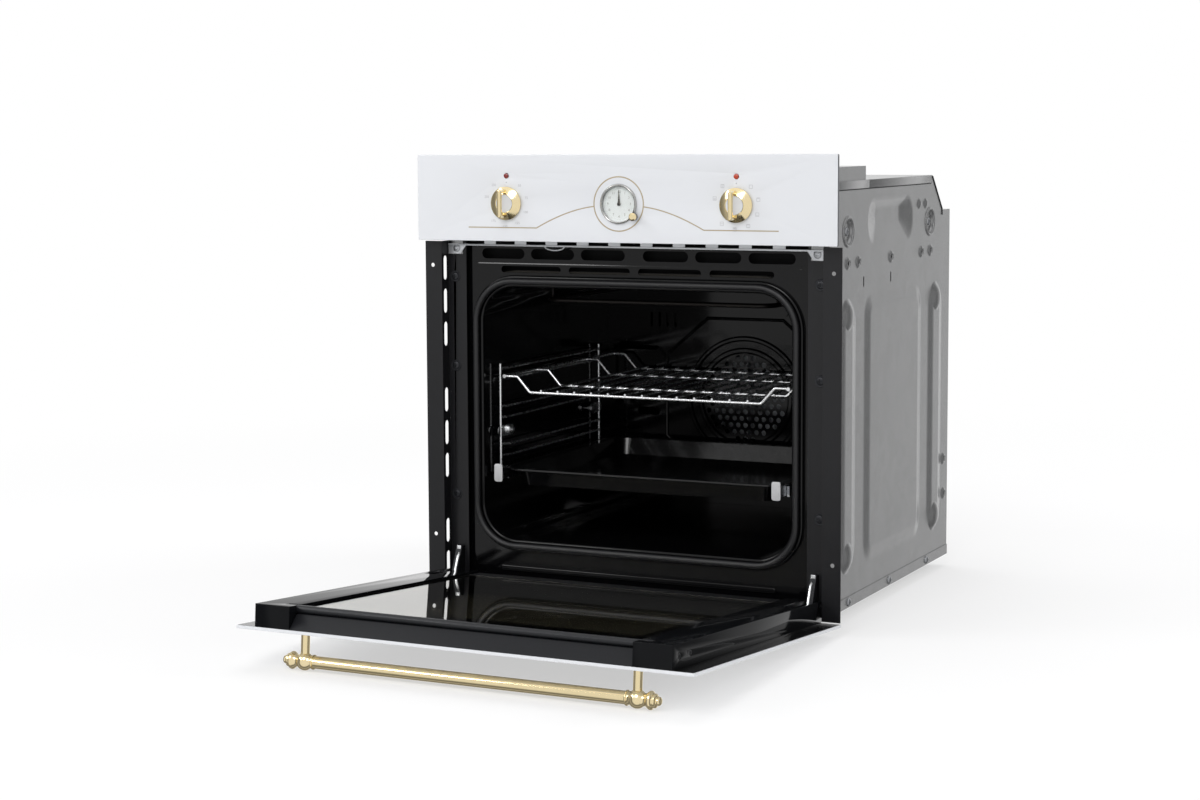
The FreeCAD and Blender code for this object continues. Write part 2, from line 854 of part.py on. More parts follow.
vents = slots(
    [
        (side * (at.vent_middle + at.vent_long / 2 + step * at.vent_pitch), frame_face, at.vent_height)
        for side in (-1, 1)
        for step in range(int(at.vents))
    ],
    at.vent_long, at.vent_tall, 6 * at.enamel, AIM["front"],
)
low_vents = slots(
    [
        (side * (at.low_vent_middle + at.low_vent_long / 2 + step * at.low_vent_pitch),
         frame_face, at.low_vent_height)
        for side in (-1, 1)
        for step in range(int(at.low_vents))
    ],
    at.low_vent_long, at.low_vent_tall, 6 * at.enamel, AIM["front"],
)
frame_metal = join(frame_plate, frame_lip, *frame_steps, *frame_ribs)
keep(cut(frame_metal, oven_mouth, vents, low_vents, *post_screw_holes,
         tongue_slot, mirrored(tongue_slot)), "cavity_front_frame")

# Door seal: a rubber tube that runs round the mouth on the raised lip
seal_path = rounded_wire(at.opening_width + at.lip_wide, at.opening_height + at.lip_wide,
                         at.opening_corner + at.lip_wide / 2)
seal_start = seal_path.Edges[0].valueAt(seal_path.Edges[0].FirstParameter)
seal_ring = Part.Wire(Part.makeCircle(at.seal_radius, seal_start,
                                      seal_path.Edges[0].tangentAt(seal_path.Edges[0].FirstParameter)))
seal = seal_path.makePipeShell([seal_ring], True, False)
seal.Placement = Placement(
    Vector(0, frame_face - at.lip_high - at.seal_room - at.seal_radius,
           at.opening_low + at.opening_height / 2),
    AIM["front"],
)
keep(solid(seal), "door_seal")


def sleeve(wide, low, high, wall, corner, long, back):
    """A round-cornered tube that runs from the back plane forwards."""
    outer = pressed(rectangle(f"{wide} + 2 * {wall}", f"{low} - {wall}", f"{high} + {wall}"),
                    long, ("0", back, "0"), "front", f"{corner} + {wall}")
    inner = pressed(rectangle(wide, low, high), long, ("0", back, "0"), "front", corner)
    return cut(outer, inner)


# Enamelled oven muffle, wool blanket round it and its back wall
keep(sleeve("opening_width", "opening_low", CAVITY_TOP, "enamel", "opening_corner",
            "cavity_length", CAVITY_BACK), "cavity_wrap")
keep(sleeve("opening_width + 2 * (enamel + wool_room)", "opening_low - enamel - heater_room",
            CAVITY_TOP + " + enamel + wool_room", "wool", "opening_corner",
            "cavity_length - 2 * enamel", CAVITY_BACK + " - enamel"), "insulation")
GRILL_LINE = "(opening_low + opening_height - grill_drop)"
heater_holes = [
    rod("heater_tube + screw_room", "casing_depth / 4",
        (f"{side} * lead_spread", BAFFLE_FACE + " - sheet", GRILL_LINE), "back")
    for side in (-1, 1)
]
ring_holes = [
    rod("heater_tube + screw_room", "casing_depth / 4",
        (f"{side} * ring_heater * sin(ring_gap / 2)", BAFFLE_FACE + " + baffle_step",
         "fan_height - ring_heater * cos(ring_gap / 2)"), "back")
    for side in (-1, 1)
]
lamp_hole = rod("lamp_radius - lamp_rim + screw_room", "casing_depth / 4",
                ("lamp_at", BAFFLE_FACE + " - sheet", "lamp_height"), "back")
shaft_hole = rod("2 * fan_shaft", "casing_depth / 4",
                 ("0", BAFFLE_FACE + " + baffle_step", "fan_height"), "back")
back_sheet = pressed(
    rectangle("opening_width + 2 * enamel", "opening_low - enamel", CAVITY_TOP + " + enamel"),
    "enamel", ("0", CAVITY_BACK + " + enamel", "0"), "front", "opening_corner + enamel",
)
keep(cut(back_sheet, *heater_holes, *ring_holes, lamp_hole, shaft_hole), "cavity_back_wall")

# Rear baffle: the visible back wall, stamped and perforated in front of the convection fan
baffle_sheet = pressed(
    rectangle("opening_width - 2 * seal_room", "opening_low + seal_room", CAVITY_TOP + " - seal_room"),
    "enamel", ("0", BAFFLE_FACE + " + enamel", "0"), "front", "opening_corner - seal_room",
)
baffle_rings = [
    turned(
        [
            (inner, "0"),
            (outer, "0"),
            (f"{outer} - ring_rise", "ring_rise"),
            (f"{inner} + ring_rise", "ring_rise"),
        ],
        ("0", BAFFLE_FACE, "fan_height"),
    )
    for inner, outer in (("fan_ring", "fan_cover"), ("fan_mesh", "fan_ring_inner"))
]
baffle_stud = rod("stud_radius", "ring_rise", ("stud_at", BAFFLE_FACE, "stud_height"))
mesh = []
mesh_rows = int(at.fan_mesh / at.mesh_pitch) + 1
for row in range(-mesh_rows, mesh_rows + 1):
    for column in range(-mesh_rows, mesh_rows + 1):
        across = (column + row % 2 / 2) * at.mesh_pitch
        rise = row * at.mesh_pitch * math.sin(math.radians(60))
        if math.hypot(across, rise) + at.mesh_hole < at.fan_mesh:
            mesh.append(Part.makeCylinder(
                at.mesh_hole, 4 * at.enamel,
                Vector(across, baffle_face - at.enamel, at.fan_height + rise), Vector(0, 1, 0),
            ))
air_outlets = [
    slots([(side * spot, baffle_face, height) for side in (-1, 1)],
          long, at.outlet_wide, 6 * at.enamel, AIM["front"])
    for spot, height, long in (
        (at.outlet_high_at, at.outlet_high, at.outlet_high_long),
        (at.outlet_low_at, at.outlet_low, at.outlet_low_long),
    )
]
baffle_slits = slots(
    [(-at.baffle_slit_at - step * at.baffle_slit_pitch, baffle_face, at.baffle_slit_height)
     for step in range(int(at.baffle_slits))],
    at.baffle_slit_tall, at.slit_wide, 6 * at.enamel, AIM["upright"],
)
keep(cut(join(baffle_sheet, *baffle_rings, baffle_stud), solid(Part.makeCompound(mesh), "mesh"),
         *air_outlets, baffle_slits, *heater_holes, lamp_hole), "rear_baffle")

# Convection fan: hub and shaft, a disc and flat blades, driven by a motor behind the back wall
fan_start = BAFFLE_FACE + " + fan_front"
fan_core = turned(
    [
        ("0", "0"),
        ("fan_hub", "0"),
        ("fan_hub", "fan_blade_deep - fan_disc"),
        ("fan_radius", "fan_blade_deep - fan_disc"),
        ("fan_radius", "fan_blade_deep"),
        ("fan_shaft", "fan_blade_deep"),
        ("fan_shaft", "cavity_length + frame_depth + 2 * enamel - baffle_depth - fan_front + motor_long / 2"),
        ("0", "cavity_length + frame_depth + 2 * enamel - baffle_depth - fan_front + motor_long / 2"),
    ],
    ("0", fan_start, "fan_height"), "back",
)
fan_blades = []
for step in range(int(at.fan_blades)):
    blade = Part.makeBox(at.fan_radius - at.fan_hub, at.fan_disc, at.fan_blade_deep,
                         Vector(at.fan_hub - at.fan_disc, -at.fan_disc / 2, 0))
    blade.rotate(Vector(), Vector(0, 0, 1), 360 * step / at.fan_blades)
    blade.Placement = Placement(Vector(0, baffle_face + at.fan_front, at.fan_height),
                                AIM["back"]) * blade.Placement
    fan_blades.append(solid(blade, "blade"))
keep(join(fan_core, *fan_blades), "convection_fan")
keep(turned(
    [
        ("fan_shaft + shaft_room", "0"),
        ("motor_radius", "0"),
        ("motor_radius", "motor_long"),
        ("0", "motor_long"),
        ("0", "motor_long / 2 + sheet"),
        ("fan_shaft + shaft_room", "motor_long / 2 + sheet"),
    ],
    ("0", CAVITY_BACK + " + enamel", "fan_height"), "back",
), "fan_motor")

# Heaters: a ring round the fan, a grill loop under the roof and a loop under the floor
ring_y = baffle_face + at.fan_front + at.fan_blade_deep / 2
lead_end = cavity_back + at.enamel + at.heater_lead
ring = Part.makeTorus(at.ring_heater, at.heater_tube, Vector(), Vector(0, 0, 1), 0, 360,
                      360 - at.ring_gap)
ring.rotate(Vector(), Vector(0, 0, 1), at.ring_gap / 2 - 90)
ring_parts = [ring]
for side in (-1, 1):
    lead = Vector(side * at.ring_heater * math.sin(math.radians(at.ring_gap / 2)),
                  -at.ring_heater * math.cos(math.radians(at.ring_gap / 2)), 0)
    ring_parts.append(Part.makeSphere(at.heater_tube, lead))
    ring_parts.append(Part.makeCylinder(at.heater_tube, lead_end - ring_y, lead, Vector(0, 0, -1)))
ring = fused(ring_parts)
ring.Placement = Placement(Vector(0, ring_y, at.fan_height), AIM["front"])
keep(solid(ring), "ring_heater")


def heater_loop(height):
    """A loop of heater tube with both leads at the back."""
    rear = baffle_face - at.grill_bend
    near = rear - at.grill_length
    half, inner = at.grill_width / 2, at.lead_spread
    points = [(-inner, lead_end), (-inner, rear), (-half, rear), (-half, near)]
    points += [(-x, y) for x, y in reversed(points)]
    return bent_wire([(x, y, height) for x, y in points], at.heater_tube, at.grill_bend)


grill_line = cavity_top - at.grill_drop
grill_parts = [heater_loop(grill_line)]
for side in (-1, 1):
    for y in (baffle_face - at.grill_length, baffle_face - at.grill_length / 2):
        hanger = (side * at.grill_width / 2, y)
        grill_parts.append(straight_wire((*hanger, grill_line), (*hanger, cavity_top), at.rack_wire))
keep(solid(fused(grill_parts)), "grill_heater")
keep(solid(heater_loop(at.opening_low - at.enamel - at.slide_room - at.heater_tube)), "bottom_heater")

# Oven lamp: glass cap in front of the baffle, socket through the back wall
keep(turned(
    [
        ("0", "-lamp_socket"),
        ("lamp_radius - lamp_rim", "-lamp_socket"),
        ("lamp_radius - lamp_rim", "0"),
        ("lamp_radius", "0"),
        ("lamp_radius", "lamp_rim / 2"),
        ("lamp_radius - lamp_rim", "lamp_radius / 3"),
        ("0", "lamp_radius / 2"),
    ],
    ("lamp_at", BAFFLE_FACE, "lamp_height"),
), "oven_lamp")

# Side racks: bent wires welded to two uprights, held by nuts on studs
rack_near = front + at.rack_front
rack_far = rack_near + at.rack_long
rack_levels = [at.rack_low]
for step in range(int(at.rack_levels)):
    rack_levels.append(at.rack_top - step * at.rack_pitch)
    rack_levels.append(at.rack_top - step * at.rack_pitch + at.rack_pair)
bow = 2 * (at.rack_plane - at.rack_inner)
rack_parts = []
for level in rack_levels:
    rack_parts.append(bent_wire(
        [
            (at.rack_plane, rack_near, level),
            (at.rack_inner, rack_near + bow, level),
            (at.rack_inner, rack_far - bow, level),
            (at.rack_plane, rack_far, level),
        ],
        at.rack_wire, at.rack_bend,
    ))
for y in (rack_near, rack_far):
    rack_parts.append(straight_wire(
        (at.rack_plane, y, min(rack_levels) - at.rack_bend),
        (at.rack_plane, y, max(rack_levels) + at.rack_bend), at.rack_frame,
    ))
nut_spots = [rack_near + at.nut_inset, rack_far - at.nut_inset]
for upright, nut in zip((rack_near, rack_far), nut_spots):
    tab = obround(at.nut_inset + 2 * at.nut_radius, 2 * at.nut_radius, at.rack_wire)
    tab.Placement = Placement(Vector(at.rack_plane, (upright + nut) / 2, at.nut_height), AIM["side"])
    hole = Part.makeCylinder(at.nut_stud + at.screw_room, 2 * at.rack_frame,
                             Vector(at.rack_plane - at.rack_frame, nut, at.nut_height), Vector(1, 0, 0))
    rack_parts.append(tab.cut(hole))
pair(solid(fused(rack_parts)), "wire_rack")
nuts = [
    turned(
        [
            ("0", "0"),
            ("nut_stud", "0"),
            ("nut_stud", "opening_width / 2 - rack_plane + rack_wire / 2"),
            ("nut_radius", "opening_width / 2 - rack_plane + rack_wire / 2"),
            ("nut_radius", "opening_width / 2 - rack_plane + nut_stud + rack_wire"),
            ("nut_stud", "opening_width / 2 - rack_plane + nut_radius"),
            ("0", "opening_width / 2 - rack_plane + nut_radius"),
        ],
        ("opening_width / 2", y, "nut_height"), "left",
    )
    for y in nut_spots
]
keep(group(*nuts, *[mirrored(nut) for nut in nuts]), "rack_nuts")

# Wire shelf: side rods that run on the rack wires, dropped cross bars and long wires
shelf_level = at.rack_top + at.rack_wire + at.slide_room + at.shelf_rod
shelf_near = front + at.shelf_front
shelf_far = shelf_near + at.shelf_long
shelf_parts = []
for side in (-1, 1):
    shelf_parts.append(straight_wire(
        (side * at.shelf_half, shelf_near - at.shelf_rod, shelf_level),
        (side * at.shelf_half, shelf_far + at.shelf_rod, shelf_level), at.shelf_rod,
    ))
for y in (shelf_near, shelf_near + at.shelf_inset, shelf_far - at.shelf_inset, shelf_far):
    basin = [(-at.shelf_half, shelf_level), (-at.shelf_shoulder, shelf_level),
             (-at.shelf_basin, shelf_level - at.shelf_drop)]
    basin += [(-x, z) for x, z in reversed(basin)]
    shelf_parts.append(bent_wire([(x, y, z) for x, z in basin], at.shelf_cross, 2 * at.shelf_rod))
wire_level = shelf_level - at.shelf_drop + at.shelf_cross + at.shelf_wire / 2
for step in range(-int(at.shelf_wires), int(at.shelf_wires) + 1):
    shelf_parts.append(straight_wire(
        (step * at.shelf_pitch, shelf_near - at.shelf_rod, wire_level),
        (step * at.shelf_pitch, shelf_far + at.shelf_rod, wire_level), at.shelf_wire,
    ))
keep(solid(fused(shelf_parts)), "wire_shelf")

# Baking tray on telescopic runners
tray_near = front + at.tray_front
tray_mid = tray_near + at.tray_long / 2
tray_border = at.tray_rim - at.tray_half
tray_inner_long = at.tray_long - 2 * tray_border
tray = Part.Face(rounded_wire(2 * at.tray_rim, at.tray_long, at.tray_corner + tray_border))
tray = tray.extrude(Vector(0, 0, at.tray_sheet))
tray = tray.fuse(frustum(2 * at.tray_half, tray_inner_long, at.tray_corner, at.tray_taper,
                         at.tray_sheet - at.tray_tall, at.tray_sheet))
tray = tray.cut(frustum(2 * (at.tray_half - at.tray_sheet), tray_inner_long - 2 * at.tray_sheet,
                        at.tray_corner - at.tray_sheet, at.tray_taper,
                        2 * at.tray_sheet - at.tray_tall, at.tray_sheet))
tray.Placement = Placement(Vector(0, tray_mid, at.runner_top), Rotation())
keep(solid(tray.removeSplitter()), "baking_tray")
RUNNER_NEAR = FRONT + " + tray_front - runner_ahead"
runner_rail = block(("runner_wall", "runner_long", "runner_top - runner_low - runner_lift"),
                    ("runner_inner", RUNNER_NEAR, "runner_low + runner_lift"))
runner_stop = pressed(
    [
        ("runner_inner + runner_wall / 2 - stop_wide / 2", "runner_low"),
        ("runner_inner + runner_wall / 2 + stop_wide / 2", "runner_low"),
        ("runner_inner + runner_wall / 2 + stop_wide / 2", "runner_low + stop_tall"),
        ("runner_inner + runner_wall / 2 - stop_wide / 2", "runner_low + stop_tall"),
    ],
    "post_sheet", ("0", RUNNER_NEAR, "0"), "front", "runner_lift",
)
runner = join(runner_rail, runner_stop)
keep(group(runner, mirrored(runner)), "runner_inners")
outer_runner = block(("runner_outer_wall", "rack_long - runner_ahead", "runner_tall"),
                     ("runner_inner + runner_wall + runner_gap", FRONT + " + rack_front", "runner_low"))
keep(group(outer_runner, mirrored(outer_runner)), "runner_outers")

# Carrier of the control panel: a folded box behind the glass with tabs screwed to the posts
CARRIER_LOW = "(door_height + door_gap - front_drop + carrier_rise - sheet)"
carrier_long = "carrier_depth + front_reach - panel_glass"
carrier_parts = [
    pressed(rectangle(f"2 * {SIDE_IN}", CARRIER_LOW, CARRIER_TOP), "sheet",
            ("0", PANEL_BACK + " + sheet", "0")),
    block((f"2 * {SIDE_IN}", carrier_long, "sheet"), (f"-{SIDE_IN}", PANEL_BACK, CARRIER_TOP + " - sheet")),
    block((f"2 * {SIDE_IN}", "sheet", "carrier_flange"),
          (f"-{SIDE_IN}", FRONT + " + carrier_depth - sheet", CARRIER_TOP + " - carrier_flange")),
    block((f"2 * {SIDE_IN}", "strip_depth", "sheet"), (f"-{SIDE_IN}", PANEL_BACK, CARRIER_LOW)),
]
for edge in (f"-{SIDE_IN}", SIDE_IN + " - sheet"):
    carrier_parts.append(block(("sheet", carrier_long, "carrier_flange"),
                               (edge, PANEL_BACK, CARRIER_TOP + " - carrier_flange")))
for side in (-1, 1):
    carrier_parts.append(block(("tab_wide", "sheet", f"{CARRIER_LOW} + sheet - tab_low"),
                               (f"{side} * tab_at - tab_wide / 2", POST_FACE + " - sheet", "tab_low")))
strip_slots = [
    block(("strip_slot_long", "strip_slot_wide", "3 * sheet"),
          (f"{step} * strip_slot_pitch - strip_slot_long / 2",
           PANEL_BACK + " + strip_depth / 2 - strip_slot_wide / 2", CARRIER_LOW + " - sheet"))
    for step in range(-int(at.strip_slots), int(at.strip_slots) + 1)
]
CLOCK_LINE = "(door_height + door_gap - front_drop + clock_rise)"
CLOCK_KNOB_LINE = "(door_height + door_gap - front_drop + clock_rise - clock_knob_drop)"
panel_holes = [
    rod("knob_hole", "strip_depth", (f"{side} * knob_at", FRONT, KNOB_LINE)) for side in (-1, 1)
]
panel_holes.append(rod("clock_glass", "strip_depth", ("0", FRONT, CLOCK_LINE)))
panel_holes.append(rod("clock_shaft + lens_room", "strip_depth", ("clock_knob_x", FRONT, CLOCK_KNOB_LINE)))
keep(cut(join(*carrier_parts), *strip_slots, *panel_holes, *post_screw_holes), "panel_carrier")

# Glass of the control panel and the two indicator lenses in it
LAMP_LINE = "(door_height + door_gap - front_drop + lamp_rise)"
lens_holes = [
    rod("lens_radius + lens_room", "strip_depth", (f"{side} * knob_at", FRONT, LAMP_LINE)) for side in (-1, 1)
]
panel_sheet = pressed(rectangle("front_width", PANEL_LOW, PANEL_LOW + " + panel_height"), "panel_glass",
                      ("0", PANEL_BACK, "0"), "front", "2 * glass_edge", "glass_edge")
keep(cut(panel_sheet, *panel_holes, *lens_holes), "control_panel_glass")
lenses = [
    turned(
        [
            ("0", "0"),
            ("lens_radius", "0"),
            ("lens_radius", "panel_glass + lens_high / 2"),
            ("lens_radius / 2", "panel_glass + lens_high"),
            ("0", "panel_glass + lens_high"),
        ],
        (f"{side} * knob_at", PANEL_BACK, LAMP_LINE),
    )
    for side in (-1, 1)
]
keep(group(*lenses), "indicator_lenses")

# Thermostat and mode selector behind the carrier, each with a bore for its knob's shaft
SWITCH_FACE = PANEL_BACK + " + sheet"
for side, wide, name in ((-1, "control_wide", "thermostat"), (1, "control_tall", "mode_selector")):
    case = block((wide, "control_deep", "control_tall"),
                 (f"{side} * knob_at - {wide} / 2", SWITCH_FACE, KNOB_LINE + " - control_tall / 2"))
    bore = rod("knob_shaft + shaft_room", "control_deep / 2 + sheet",
               (f"{side} * knob_at", SWITCH_FACE, KNOB_LINE), "back")
    keep(cut(case, bore), name)

# Knobs: a cone with a grip bar across it and a shaft into the switch
KNOB_SHAFT_LONG = "(knob_room + panel_glass + sheet + control_deep / 2)"
for side, name in ((-1, "temperature_knob"), (1, "mode_knob")):
    cone = turned(
        [
            ("0", f"-{KNOB_SHAFT_LONG}"),
            ("knob_shaft", f"-{KNOB_SHAFT_LONG}"),
            ("knob_shaft", "0"),
            ("knob_radius", "0"),
            ("knob_radius", "knob_skirt"),
            ("knob_face", "knob_skirt + knob_cone"),
            ("0", "knob_skirt + knob_cone"),
        ],
        (f"{side} * knob_at", FACE + " - knob_room", KNOB_LINE),
    )
    bar = obround(at.grip_bar_long, at.grip_bar_wide, at.grip_bar_high - at.knob_skirt)
    bar.Placement = Placement(
        Vector(side * at.knob_at, face - at.knob_room - (at.grip_bar_high + at.knob_skirt) / 2, knob_line),
        AIM["upright"],
    )
    keep(join(cone, solid(bar, "bar")), name)

# Clock: movement behind the panel, dial, bezel and lens
movement_core = rod("clock_glass - lens_room", "panel_glass - dial_drop - dial_sheet + sheet",
                    ("0", FACE + " + dial_drop + dial_sheet", CLOCK_LINE), "back")
movement_case = block(("movement_wide", "movement_deep", "movement_wide"),
                      ("-movement_wide / 2", SWITCH_FACE, CLOCK_LINE + " - movement_wide / 2"))
hand_bore = rod("hand_tube + shaft_room", "hand_deep", ("0", FACE, CLOCK_LINE), "back")
arbor_bore = rod("hand_arbor + shaft_room", "hand_deep + panel_glass", ("0", FACE, CLOCK_LINE), "back")
setting_bore = rod("clock_shaft + shaft_room", "movement_deep / 2 + sheet",
                   ("clock_knob_x", SWITCH_FACE, CLOCK_KNOB_LINE), "back")
keep(cut(join(movement_core, movement_case), hand_bore, arbor_bore, setting_bore), "clock_movement")
dial_disc = rod("clock_glass - lens_room", "dial_sheet", ("0", FACE + " + dial_drop", CLOCK_LINE), "back")
keep(cut(dial_disc, hand_bore), "clock_dial")
keep(turned(
    [
        ("clock_glass", "0"),
        ("clock_bezel", "0"),
        ("clock_bezel", "bezel_high / 2"),
        ("clock_bezel - bezel_high / 3", "bezel_high"),
        ("clock_glass", "bezel_high"),
    ],
    ("0", FACE, CLOCK_LINE),
), "clock_bezel")
lens_back = FACE + " - bezel_high + 2 * dial_sheet"
keep(rod("clock_glass - shaft_room", "dial_sheet", ("0", lens_back, CLOCK_LINE)), "clock_lens")


def clock_hand(long, wide, stack):
    """A leaf-shaped hand with its hub that points to twelve, at its place in the stack."""
    leaf = Part.Face(Part.makePolygon([
        Vector(0, -2 * wide, 0), Vector(wide, long / 3, 0), Vector(0, long, 0),
        Vector(-wide, long / 3, 0), Vector(0, -2 * wide, 0),
    ]))
    hand = leaf.extrude(Vector(0, 0, at.hand_sheet))
    hand = hand.fuse(Part.makeCylinder(at.hand_tube + at.hand_sheet, at.hand_sheet))
    back = face + at.dial_drop - stack * at.hand_room - (stack - 1) * at.hand_sheet
    hand.Placement = Placement(Vector(0, back, clock_line), AIM["front"])
    return solid(hand, "hand")


clock_line = panel_low + at.clock_rise
hour_back = FACE + " + dial_drop - hand_room - hand_sheet"
minute_back = FACE + " + dial_drop - 2 * hand_room - 2 * hand_sheet"
hour_tube = rod("hand_tube", "hand_deep - dial_drop", ("0", hour_back, CLOCK_LINE), "back")
hour_blank = join(clock_hand(at.hour_long, at.hand_wide, 1), hour_tube)
tube_bore = rod("hand_arbor + shaft_room", "2 * hand_deep", ("0", FACE + " - dial_drop", CLOCK_LINE), "back")
keep(cut(hour_blank, tube_bore), "hour_hand")
arbor = rod("hand_arbor", "hand_deep + panel_glass - dial_drop", ("0", minute_back, CLOCK_LINE), "back")
keep(join(clock_hand(at.minute_long, at.hand_wide, 2), arbor), "minute_hand")
CLOCK_SHAFT_LONG = "(bezel_high + dial_sheet + panel_glass + sheet + movement_deep / 2)"
keep(turned(
    [
        ("0", f"-{CLOCK_SHAFT_LONG}"),
        ("clock_shaft", f"-{CLOCK_SHAFT_LONG}"),
        ("clock_shaft", "0"),
        ("clock_knob", "0"),
        ("clock_knob", "clock_knob_long - dial_sheet"),
        ("clock_knob - dial_sheet", "clock_knob_long"),
        ("0", "clock_knob_long"),
    ],
    ("clock_knob_x", FACE + " - bezel_high - dial_sheet", CLOCK_KNOB_LINE),
), "clock_knob")

# Cooling fan on the duct plate above the cavity
keep(block((f"2 * {SIDE_IN}", "casing_depth - frame_depth - enamel - duct_short", "sheet"),
           (f"-{SIDE_IN}", FRAME_BACK, DUCT_LINE)), "air_duct")
blower_shell = turned(
    [
        ("0", "0"),
        ("blower_radius", "0"),
        ("blower_radius", "blower_tall"),
        ("blower_inlet", "blower_tall"),
        ("blower_inlet", "blower_tall - blower_wall"),
        ("blower_radius - blower_wall", "blower_tall - blower_wall"),
        ("blower_radius - blower_wall", "blower_wall"),
        ("blower_motor", "blower_wall"),
        ("blower_motor", "blower_wall + blower_motor_tall"),
        ("fan_shaft + shaft_room", "blower_wall + blower_motor_tall"),
        ("fan_shaft + shaft_room", "blower_wall"),
        ("0", "blower_wall"),
    ],
    ("0", "blower_y", DUCT_LINE + " + sheet"), "up",
)
blower_outlet = block(
    ("blower_radius", "blower_radius / 2", "wheel_tall"),
    ("-blower_radius / 2", "blower_y - blower_radius - blower_wall",
     DUCT_LINE + " + sheet + blower_wall + wheel_lift"),
)
keep(cut(blower_shell, blower_outlet), "cooling_fan_housing")
WHEEL_BASE = "(blower_motor_tall + blower_wall + sheet)"
wheel_core = turned(
    [
        ("0", "blower_wall + sheet"),
        ("fan_shaft", "blower_wall + sheet"),
        ("fan_shaft", WHEEL_BASE),
        ("wheel_radius", WHEEL_BASE),
        ("wheel_radius", WHEEL_BASE + " + blower_wall"),
        ("0", WHEEL_BASE + " + blower_wall"),
    ],
    ("0", "blower_y", DUCT_LINE + " + sheet"), "up",
)
wheel_top = turned(
    [
        ("wheel_radius - wheel_blade", WHEEL_BASE + " + wheel_tall - blower_wall"),
        ("wheel_radius", WHEEL_BASE + " + wheel_tall - blower_wall"),
        ("wheel_radius", WHEEL_BASE + " + wheel_tall"),
        ("wheel_radius - wheel_blade", WHEEL_BASE + " + wheel_tall"),
    ],
    ("0", "blower_y", DUCT_LINE + " + sheet"), "up",
)
wheel_z = duct_line + at.sheet + at.blower_motor_tall + at.blower_wall + at.sheet
wheel_vanes = []
for step in range(int(at.wheel_blades)):
    vane = Part.makeBox(at.wheel_blade - 2 * at.sheet, at.sheet, at.wheel_tall,
                        Vector(at.wheel_radius - at.wheel_blade + at.sheet, -at.sheet / 2, wheel_z))
    vane.rotate(Vector(), Vector(0, 0, 1), 360 * step / at.wheel_blades)
    vane.translate(Vector(0, at.blower_y, 0))
    wheel_vanes.append(solid(vane, "vane"))
keep(join(wheel_core, wheel_top, *wheel_vanes), "cooling_fan")

# Terminal box on the rear ledge, with the gland hole for the mains lead
terminal_low = ("terminal_x - terminal_wide / 2", "casing_depth / 2 - terminal_deep", "rear_height")
terminal_room = block(
    ("terminal_wide - 2 * gland_wall", "terminal_deep - 2 * gland_wall", "terminal_tall - 2 * gland_wall"),
    tuple(f"{corner} + gland_wall" for corner in terminal_low),
)
gland = rod("gland_radius", "2 * gland_wall",
            ("terminal_x", "casing_depth / 2 - 1.5 * gland_wall", "rear_height + terminal_tall / 2"), "back")
keep(cut(block(("terminal_wide", "terminal_deep", "terminal_tall"), terminal_low), terminal_room, gland),
     "terminal_box")

# Everything on the door is drawn with the door closed and then swung open about the hinge pins
swing = Placement(Vector(), Rotation(Vector(1, 0, 0), at.door_open), Vector(0, hinge_y, hinge_z))


def hung(source, label):
    """A door piece swung to where the door stands open."""
    obj = doc.addObject("Part::Compound", "hung")
    obj.Links = [source]
    obj.Placement = swing
    keep(obj, label)


def hung_pair(source, name):
    """A right-hand door piece and its left-hand twin."""
    hung(source, f"{name}_right")
    hung(mirrored(source), f"{name}_left")


# Outer glass, side stiles, rails and inner glass of the door
DOOR_TOP = "(door_height - front_drop)"
STILE_LOW = "(stile_gap - front_drop)"
hung(pressed(rectangle("front_width", "-front_drop", DOOR_TOP), "door_glass", ("0", DOOR_BACK, "0"),
             "front", "2 * glass_edge", "glass_edge"), "door_outer_glass")
stile = block(("stile_wide", "door_thick", "door_height - 2 * stile_gap"), (STILE_IN, DOOR_BACK, STILE_LOW))
hinge_slot = block(
    ("cassette_wide", "door_thick", "cassette_tall"),
    ("hinge_at - cassette_wide / 2", DOOR_BACK + " + cassette_skin", STILE_LOW),
)
bead_notch = block(
    ("bead_seat", "2 * bead_radius", "2 * bead_radius"),
    (STILE_IN, DOOR_FACE + " - 2 * bead_radius", DOOR_TOP + " - rail_slope - 2 * bead_radius"),
)
side_screw_spots = ["side_screw_first", "side_screw_first + side_screw_pitch"]
screw_pockets = []
for spot in side_screw_spots:
    start = ("door_half", DOOR_BACK + " + door_thick / 2", f"{DOOR_TOP} - ({spot})")
    screw_pockets.append(rod("side_screw_radius", "side_screw_deep", start, "left"))
    screw_pockets.append(rod("screw_shank + screw_room", "side_screw_deep + screw_long + sheet",
                             start, "left"))
hung_pair(cut(stile, hinge_slot, bead_notch, *screw_pockets), "door_side")
RAIL_BACK = DOOR_FACE + " - 2 * bead_radius"
hung(pressed(
    [
        (DOOR_BACK, DOOR_TOP + " - rail_top"),
        (RAIL_BACK, DOOR_TOP + " - rail_top"),
        (RAIL_BACK, DOOR_TOP + " - rail_slope"),
        (DOOR_BACK, DOOR_TOP + " - stile_gap"),
    ],
    f"2 * {STILE_IN}", (f"-{STILE_IN}", "0", "0"), "side",
), "door_top_rail")
bead_start = (f"-{STILE_IN} - bead_seat", DOOR_FACE + " - bead_radius",
              DOOR_TOP + " - rail_slope - bead_radius")
hung(rod("bead_radius", f"2 * ({STILE_IN} + bead_seat)", bead_start, "right"), "door_glass_bar")
hung(block((f"2 * {STILE_IN}", "door_thick - inner_recess", "rail_low + front_drop - stile_gap"),
           (f"-{STILE_IN}", DOOR_BACK, STILE_LOW)), "door_bottom_rail")
inner_pane = rectangle(f"2 * ({STILE_IN} - slide_room)", "rail_low",
                       DOOR_TOP + " - rail_slope - 2 * bead_radius")
hung(pressed(inner_pane, "inner_glass", ("0", DOOR_FACE + " - inner_recess", "0")), "door_inner_glass")

